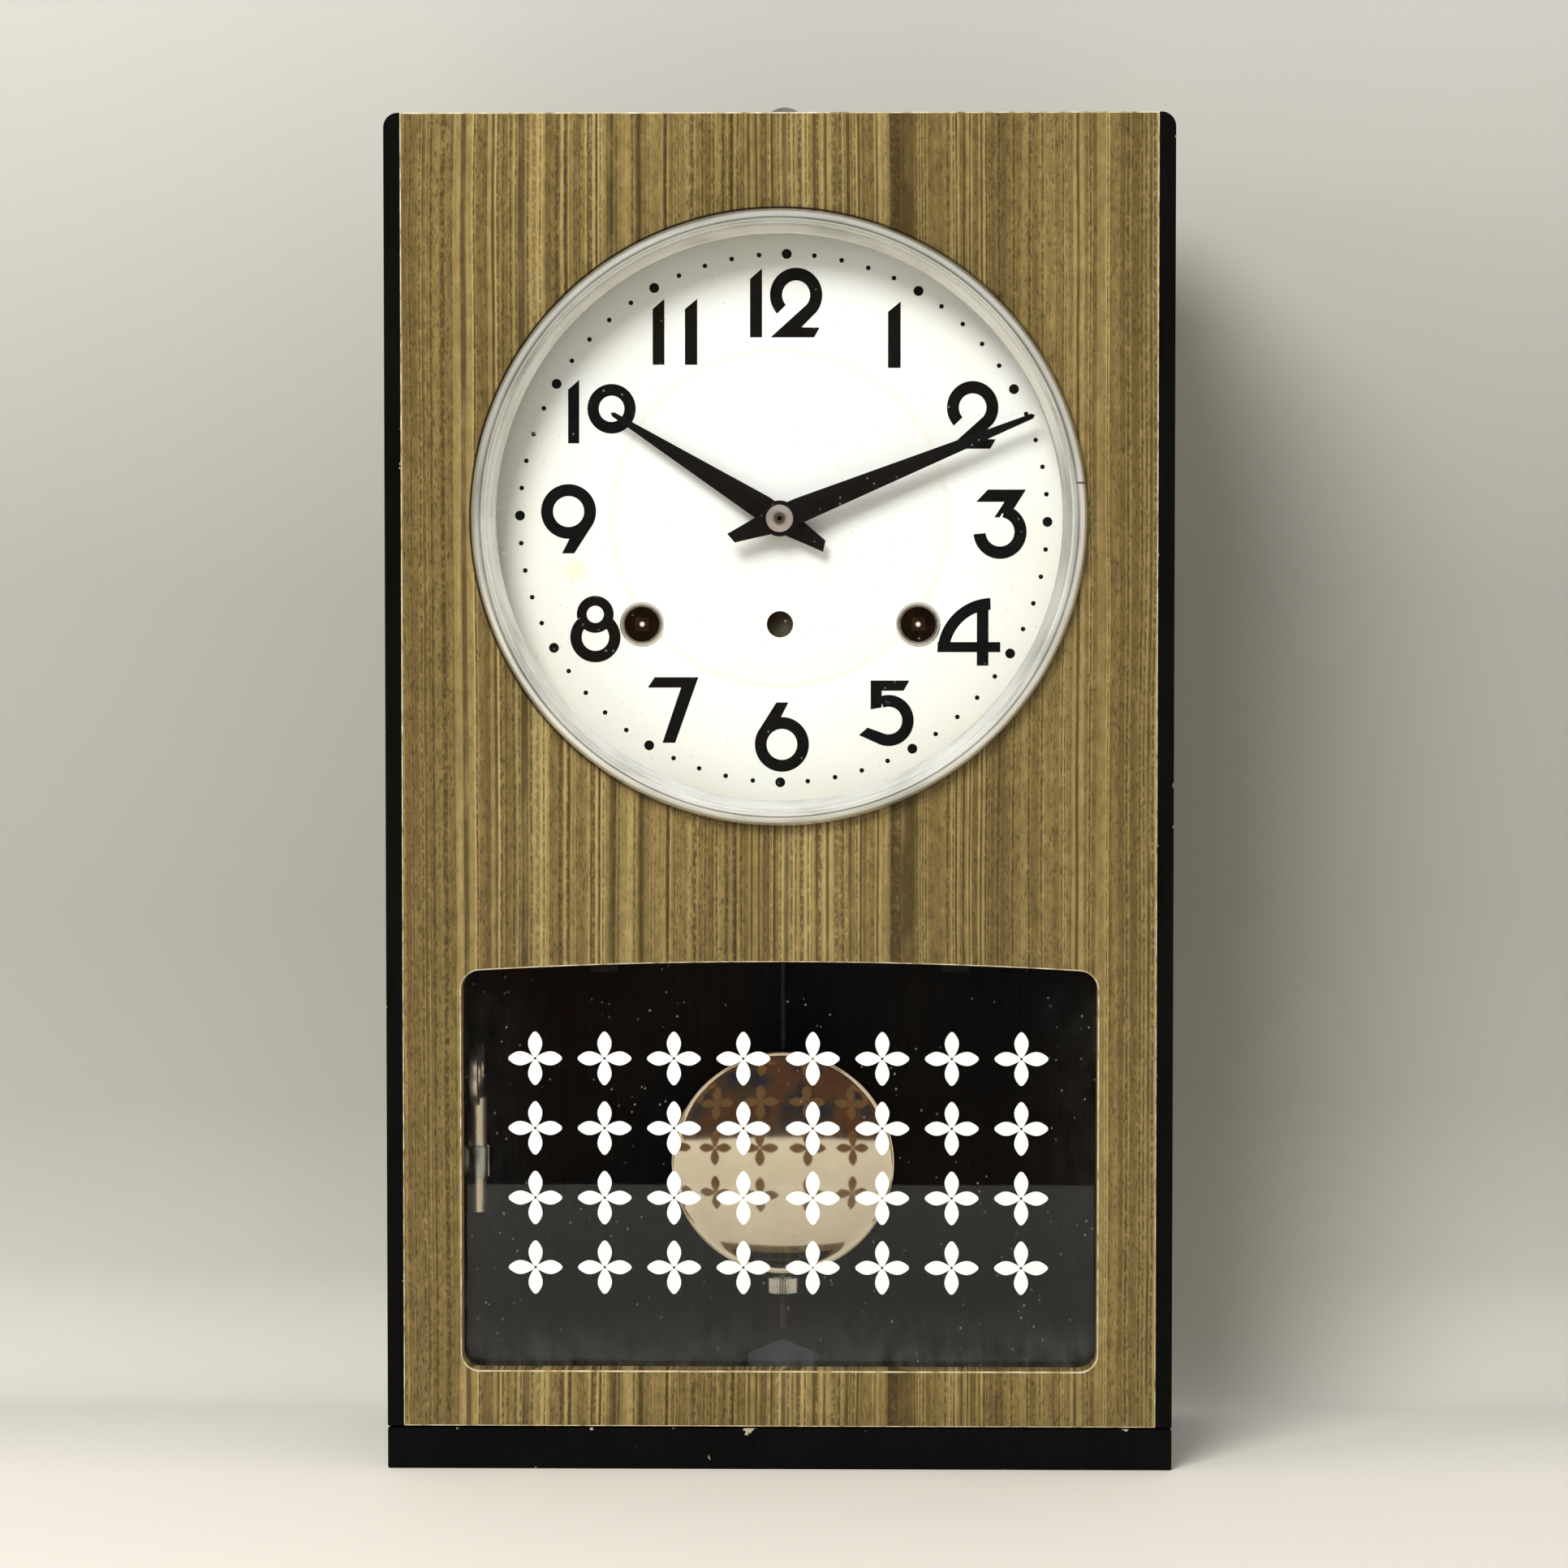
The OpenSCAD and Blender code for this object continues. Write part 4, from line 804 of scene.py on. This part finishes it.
def minuteTrack():
    # sixty dots: one small and one large dot are modelled and copied round
    made = []
    drops = {}
    reach = dial["trackRadius"]
    for key, radius in (("minute", dial["smallDot"]), ("hour", dial["largeDot"])):
        deselectAll()
        bpy.ops.mesh.primitive_circle_add(vertices=20, radius=radius * mm, fill_type="NGON",
            rotation=(math.pi / 2, 0, 0))
        drop = settle(named("dot"))
        pick(drop, "FACE", lambda face: True)
        bpy.ops.mesh.extrude_region_move(TRANSFORM_OT_translate={"value": (0, -0.00004, 0)})
        bpy.ops.mesh.inset(thickness=radius * 0.15 * mm, depth=0.00002)
        bpy.ops.object.mode_set(mode="OBJECT")
        drops[key] = closeUp(drop)
    for k in range(60):
        angle = math.radians(90 - 6 * k + dial["turn"])
        dot = twin(drops["hour" if k % 5 == 0 else "minute"], "dot")
        dot.location = ((reach * math.cos(angle) + dial["printX"]) * mm, dialFace,
            up + reach * mm * math.sin(angle))
        settle(dot)
        made.append(dot)
    for drop in drops.values():
        bpy.data.objects.remove(drop)
    track = merged("minute_track", made)
    track.data.materials.clear()
    track.data.materials.append(dialInk)
    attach(track, "case")


def eyelets():
    # rolled rim in front of the dial and a short tube through it
    tube = {"inner": 5.95, "outer": 6.85, "deep": 1.2}
    rim = [(tube["inner"], tube["deep"]), (tube["inner"], -0.5), (6.1, -0.72), (6.5, -0.8), (7.0, -0.68),
        (7.4, -0.4), (7.6, -0.02), (tube["outer"], -0.02), (tube["outer"], tube["deep"])]
    left = turned("eyelet_left", [(r * mm, y * mm) for r, y in rim],
        (-dial["windX"] * mm, dialFace, up - dial["windDrop"] * mm), steps=64)
    right = twin(left, "eyelet_right")
    right.location.x = 2 * dial["windX"] * mm
    settle(right)
    for piece in (left, right):
        smooth(piece, 40)
        dress(piece, "nickel_plate")
        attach(piece, "case")
    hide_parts("winding_eyelets")


print("dial")
dialPlate()
for entry in figures:
    figure(*entry)
minuteTrack()
eyelets()


hands = {"bevel": 0.16, "half": 4.3, "thick": 0.8, "tail": 17.2, "boss": 6.1,
    "minute": {"angle": 68, "length": 93.4, "tip": 1.8, "front": -0.0459, "hole": 1.8},
    "hour": {"angle": 302, "length": 67.8, "tip": 1.6, "front": -0.0431, "hole": 3.4}}


def handBlade(name, node, body, own):
    # one outline from tip to slanted tail, a round boss over it, and the hole for its pipe
    half = [(own["tip"] / 2, own["length"] - 1), (hands["half"], 7), (4.0, -0.5), (3.8, -5.5), (2.9, -10.8)]
    tail = [(1.9, -hands["tail"]), (-1.8, -hands["tail"] - 1.3)]
    corners = [(0, own["length"])] + half + tail + [(-a, b) for a, b in reversed(half)]
    piece = barStroke([(a * mm, b * mm) for a, b in corners])
    pick(piece, "FACE", lambda face: True)
    bpy.ops.mesh.extrude_region_move(TRANSFORM_OT_translate={"value": (0, hands["thick"] * mm, 0)})
    bpy.ops.object.mode_set(mode="OBJECT")
    closeUp(piece)
    boss = rod("boss", 0, 0, hands["boss"] * mm, 0, hands["thick"] * mm, 72)
    modify(piece, "BOOLEAN", operation="UNION", solver="EXACT", object=boss)
    bpy.data.objects.remove(boss)
    carve(piece, rod("cutter", 0, 0, own["hole"] * mm, -0.001, 0.002, 48))
    piece.rotation_euler.y = math.radians(own["angle"])
    piece.location = (0, own["front"], up)
    settle(piece).name = name
    twoSlots(piece)
    chamfer(piece, hands["bevel"] * mm, 2, 30)
    smooth(piece, 35)
    dress(piece, "hand_black")
    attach(piece, body)
    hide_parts(node)


def handNut():
    # round nut with a low step and the hole for the arbor's end
    flange = [(1.55, 0), (4.4, 0), (4.65, -0.25), (4.65, -1.2), (4.5, -1.5), (4.1, -1.7), (3.3, -1.8)]
    crown = [(3.0, -2.0), (2.85, -2.25), (2.5, -2.4), (1.9, -2.4), (1.65, -2.25), (1.55, -2.0)]
    nut = turned("hand_nut_cap", [(r * mm, y * mm) for r, y in flange + crown],
        (0, hands["minute"]["front"], up), steps=64)
    smooth(nut, 50)
    dress(nut, "nut_satin")
    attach(nut, "minute_arbor")
    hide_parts("hand_nut")


print("winding arbors")
special = {"pendulum_rod": stemSteel(), "front_plate": metal("plate_grey", tone(150, 146, 124),
    tone(182, 178, 156), 0.42, worn=0.5, dull=tone(112, 106, 84))}
for node, coat in (("going_arbor", arborSteel()), ("strike_arbor", arborSteel()), ("centre_wheel", centreSteel()),
        ("glass_clips", blackedSteel())):
    frame["nodes"][node].data.materials[0] = coat

print("hands")
handBlade("minute_blade", "minute_hand", "minute_arbor", hands["minute"])
handBlade("hour_blade", "hour_hand", "hour", hands["hour"])
handNut()


petals = {"columns": 8, "rows": 4, "left": -83.6, "top": 139.37, "pitchX": 23.73, "pitchZ": 23.91, "thick": 0.05}


def petalPrint():
    # one petal from a circle: pointed neck, widest in the middle, blunt outer tip
    section = [(0.4, 0.35), (1.0, 0.9), (1.9, 1.4), (3.0, 1.95), (4.3, 2.35), (5.4, 2.42), (6.4, 2.25),
        (7.6, 1.7), (8.5, 1.05), (9.0, 0.6)]
    rim = [(9.2, 0)] + [(a, b) for a, b in reversed(section)] + [(a, -b) for a, b in section]
    deselectAll()
    bpy.ops.mesh.primitive_circle_add(vertices=len(rim), radius=1, fill_type="NGON")
    petal = named("petal")
    for vertex, (along, across) in zip(petal.data.vertices, rim):
        vertex.co = (along * mm, paneFront, across * mm)
    pick(petal, "FACE", lambda face: True)
    bpy.ops.mesh.extrude_region_move(TRANSFORM_OT_translate={"value": (0, -petals["thick"] * mm, 0)})
    bpy.ops.object.mode_set(mode="OBJECT")
    closeUp(petal)
    made = []
    for row in range(petals["rows"]):
        for column in range(petals["columns"]):
            x = (petals["left"] + petals["pitchX"] * column) * mm
            z = (petals["top"] - petals["pitchZ"] * row) * mm
            for quarter in range(4):
                leaf = twin(petal, "petal")
                leaf.rotation_euler = (0, quarter * math.pi / 2, 0)
                leaf.location = (x, 0, z)
                made.append(settle(leaf))
    bpy.data.objects.remove(petal)
    sheet = merged("window_petals", made)
    sheet.data.materials.clear()
    sheet.data.materials.append(petalInk)
    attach(sheet, "door")


print("window print")
petalPrint()


bob = {"y": 22, "z": 95.7, "radius": 40.5, "thick": 7, "bulge": 2.3, "lean": 0.032,
    "nutZ": 48.3, "nutRadius": 5.5, "nutHeight": 6.6, "nutBore": 1.6, "knurl": 0.93}


def pendulumBob():
    # polished front that bulges a little more towards the rim, rolled rim, flat back
    half = bob["thick"] / 2
    face = half - 0.6
    r = bob["radius"]
    dome = [(a, a * a / 740 + 2.16e-7 * a ** 4 - face - bob["bulge"])
        for a in (0, 5, 10, 15, 20, 24, 28, 31, 34, 36, 37.3)]
    rim = [(38.3, 0.08 - face), (r - 1.5, 0.05 - face), (r - 1.3, -half + 0.1), (r - 1.0, -half),
        (r - 0.6, 0.2 - half), (r - 0.2, 0.7 - half), (r, 1.5 - half), (r, half - 1.5)]
    back = [(r - 0.4, half - 0.7), (r - 2.0, half), (r - 3.0, face), (0, face)]
    disc = turned("bob_disc", [(a * mm, b * mm) for a, b in dome + rim + back], (0, 0, 0), steps=160, ring=False)
    disc.rotation_euler.x = bob["lean"]
    disc.location = (0, bob["y"] * mm, bob["z"] * mm)
    settle(disc)
    smooth(disc, 35)
    dress(disc, "bob_nickel")
    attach(disc, "pendulum")
    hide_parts("pendulum_bob")


def ratingNut():
    # knurled: every second face of the rim is drawn in
    r, h, bore = bob["nutRadius"], bob["nutHeight"], bob["nutBore"]
    section = [(bore, 0), (r - 0.7, 0), (r, 0.7), (r, h - 0.7), (r - 0.7, h), (3.2, h), (2.8, h - 0.4),
        (bore, h - 0.4)]
    nut = turned("rating_knob", [(a * mm, b * mm) for a, b in section],
        (0, bob["y"] * mm, bob["nutZ"] * mm), "Z", 72)
    for vertex in nut.data.vertices:
        x, y = vertex.co.x, vertex.co.y - bob["y"] * mm
        spoke = round(math.degrees(math.atan2(y, x)) / 5) % 2
        if spoke and math.hypot(x, y) > (r - 0.2) * mm:
            vertex.co.x, vertex.co.y = x * bob["knurl"], y * bob["knurl"] + bob["y"] * mm
    smooth(nut, 20)
    dress(nut, "nickel_plate")
    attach(nut, "rating_nut")
    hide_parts("rating_nut")


print("pendulum")
pendulumBob()
ratingNut()


print("fittings")
# node, name of its softer copy, body, width of its broken edges in mm, slot
fittings = [
    ("hanger_plate", "hanger", "case", 0.25, "zinc_steel"),
    ("movement_brackets", "brackets", "case", 0.2, "zinc_steel"),
    ("key_clip", "spring_clip", "case", 0.12, "bright_steel"),
    ("beat_plate", "pointer_plate", "case", 0.2, "blue_grey_paint"),
    ("gong_block", "gong_foot", "case", 0.8, "iron_block"),
    ("front_plate", "movement_front", "case", 0.15, "movement_brass"),
    ("back_plate", "movement_back", "case", 0.15, "movement_brass"),
    ("winding_key", "key", "key", 0.3, "key_copper"),
    ("catch_magnet", "catch_body", "case", 0.6, "catch_plastic"),
    ("catch_plate", "catch_keeper", "door", 0.2, "zinc_steel"),
    ("pendulum_rod", "pendulum_stem", "pendulum", 0.15, "rod_brass"),
    ("anchor", "anchor_arm", "anchor", 0.12, "bright_steel"),
    ("back_cock", "cock", "case", 0.2, "movement_brass"),
    ("strike_hammer", "hammer", "hammer", 0.2, "bright_steel")]
for node, name, body, width, slot in fittings:
    piece = dress(softened(node, name, body, width, 2, 0.5), slot)
    if node in special:
        piece.data.materials[0] = special[node]


print("stage")
# each lamp: place, size, power, and the point it looks at
lighting = {"fill": 0.42, "behind": 0.8,
    "key": ((-0.56, -1.5, 1.6), 0.95, 39.5, (0, 0, 0.28)),
    "side": ((-1.5, -0.9, 0.7), 0.5, 4, (0, 0, 0.25))}
stage = {"wall": 0.108, "floorFront": -0.78, "floorBack": 1.6, "wide": 4, "bend": 0.046, "tall": 2.2}
view = {"place": (0.0279, -1.605, 0.2994), "down": 2.427, "turn": 0.97, "lens": 105.25, "sensor": 36}


def paper(name, seeThrough):
    # warm grey paper with painted light: darker at middle height, lighter near the floor, at the top and towards
    # the front; the wall can be looked through from behind
    r = Recipe(name)
    mottled = r.even(9)
    height = r.axis("Z").span(0, 0.6) + (mottled - 0.5) * 0.05
    # painted light: the tone falls from the floor to middle height and rises again towards the top
    tint = r.ramp(height, (0.0, tone(207, 204, 194)), (0.08, tone(194, 192, 183)),
        (0.18, tone(176, 174, 165)), (0.3, tone(170, 168, 159)), (0.5, tone(171, 169, 161)),
        (0.7, tone(186, 184, 176)), (0.86, tone(197, 195, 188)))
    # painted light: lighter towards the front of the floor
    tint = r.blend(r.axis("Y").span(0.06, -0.07), tint, tone(233, 227, 215))
    sheet = r.surface(tint, 0.75, 0, r.bump(mottled, 0.0002, 0.1))
    if seeThrough:
        behind = r.add("ShaderNodeNewGeometry", None, None, "Backfacing")
        clear = r.add("ShaderNodeBsdfTransparent")
        sheet = r.add("ShaderNodeMixShader", None, {0: behind, 1: sheet, 2: clear})
    return r.done(sheet)


def paperSheet(name, front, back, rise):
    deselectAll()
    bpy.ops.mesh.primitive_plane_add(size=1)
    sheet = named(name)
    sheet.scale = (stage["wide"], back - front, 1)
    sheet.location = (0, (front + back) / 2, rise)
    return settle(sheet)


def sweep():
    # the floor runs on behind the wall; the wall rises from it in a rounded bend and blocks no light
    floor = paperSheet("floor", stage["floorFront"], stage["floorBack"], 0)
    floor.data.materials.append(paper("floor_paper", False))
    wall = paperSheet("backdrop", stage["wall"] - stage["bend"] - 0.001, stage["wall"], 0.0002)

    def atWall(v):
        return wall.data.vertices[v].co.y > stage["wall"] - 1e-4

    pick(wall, "EDGE", lambda e: all(atWall(v) for v in e.vertices))
    bpy.ops.mesh.extrude_region_move(TRANSFORM_OT_translate={"value": (0, 0, stage["tall"])})
    pick(wall, "EDGE", lambda e: all(atWall(v) and wall.data.vertices[v].co.z < 1e-3 for v in e.vertices))
    bpy.ops.mesh.bevel(offset=stage["bend"], segments=16)
    bpy.ops.object.mode_set(mode="OBJECT")
    smooth(wall, 60)
    wall.data.materials.append(paper("wall_paper", True))
    wall.visible_diffuse = False
    wall.visible_shadow = False


def grey(level):
    return (level, level, level * 0.97, 1)


def studio():
    # even fill for everything; polished metal and glass see pale walls and, past the table, a dark room
    r = Recipe("room", world=True)
    glossy = r.add("ShaderNodeLightPath", None, None, "Is Glossy Ray")
    way = r.add("ShaderNodeTexCoord", None, None, "Generated")
    axes = r.add("ShaderNodeSeparateXYZ", None, {"Vector": way}).socket.node
    ahead = Wire(r, axes.outputs["Y"]).span(-0.86, -0.93, 0, 1)
    rise = Wire(r, axes.outputs["Z"])
    dusk = r.noise(r.add("ShaderNodeMapping", None, {"Vector": way, "Scale": (16, 16, 9)}), 2)
    room = r.ramp(dusk, (0.34, tone(48, 54, 72)), (0.46, tone(84, 72, 60)),
        (0.56, tone(108, 74, 54)), (0.66, tone(64, 58, 60)))
    walls = r.ramp(rise * 0.5 + 0.5, (0.3, tone(130, 126, 116)), (0.55, tone(180, 178, 170)),
        (0.85, tone(250, 250, 248)))
    lean = (Wire(r, axes.outputs["X"]) * 0.9 - rise * 0.5).span(0.1, 0.8)
    walls = r.blend(lean, walls, tone(240, 236, 226))
    dark = ahead * rise.span(0.16, 0.3, 1, 0)
    seen = r.blend(dark, walls, room)
    back = Wire(r, axes.outputs["Y"]).span(0.1, 0.9)
    fill = r.blend(back, grey(lighting["fill"]), grey(lighting["behind"]))
    camera = r.add("ShaderNodeLightPath", None, None, "Is Camera Ray")
    colour = r.blend(glossy, fill, seen)
    colour = r.blend(camera, colour, tone(206, 204, 196))
    glow = r.add("ShaderNodeBackground", None, {"Color": colour, "Strength": 1})
    output = r.tree.nodes.new("ShaderNodeOutputWorld")
    r.tree.links.new(glow.socket, output.inputs["Surface"])
    scene.world = r.block
    for name in ("key", "side"):
        place, size, power, target = lighting[name]
        lamp = bpy.data.lights.new(name, "AREA")
        lamp.shape = "DISK"
        lamp.size = size
        lamp.energy = power
        holder = bpy.data.objects.new(name, lamp)
        holder.location = place
        holder.visible_glossy = False
        scene.collection.objects.link(holder)
        aim = [b - a for a, b in zip(place, target)]
        holder.rotation_euler = Vector(aim).to_track_quat("-Z", "Y").to_euler()


def takePicture():
    lens = bpy.data.cameras.new("camera")
    lens.sensor_fit = "HORIZONTAL"
    lens.sensor_width = view["sensor"]
    lens.lens = view["lens"]
    camera = bpy.data.objects.new("camera", lens)
    camera.location = view["place"]
    camera.rotation_euler = (math.radians(90 - view["down"]), 0, math.radians(view["turn"]))
    scene.collection.objects.link(camera)
    scene.camera = camera


sweep()
studio()
takePicture()
scene.view_settings.view_transform = "Standard"

print("done")
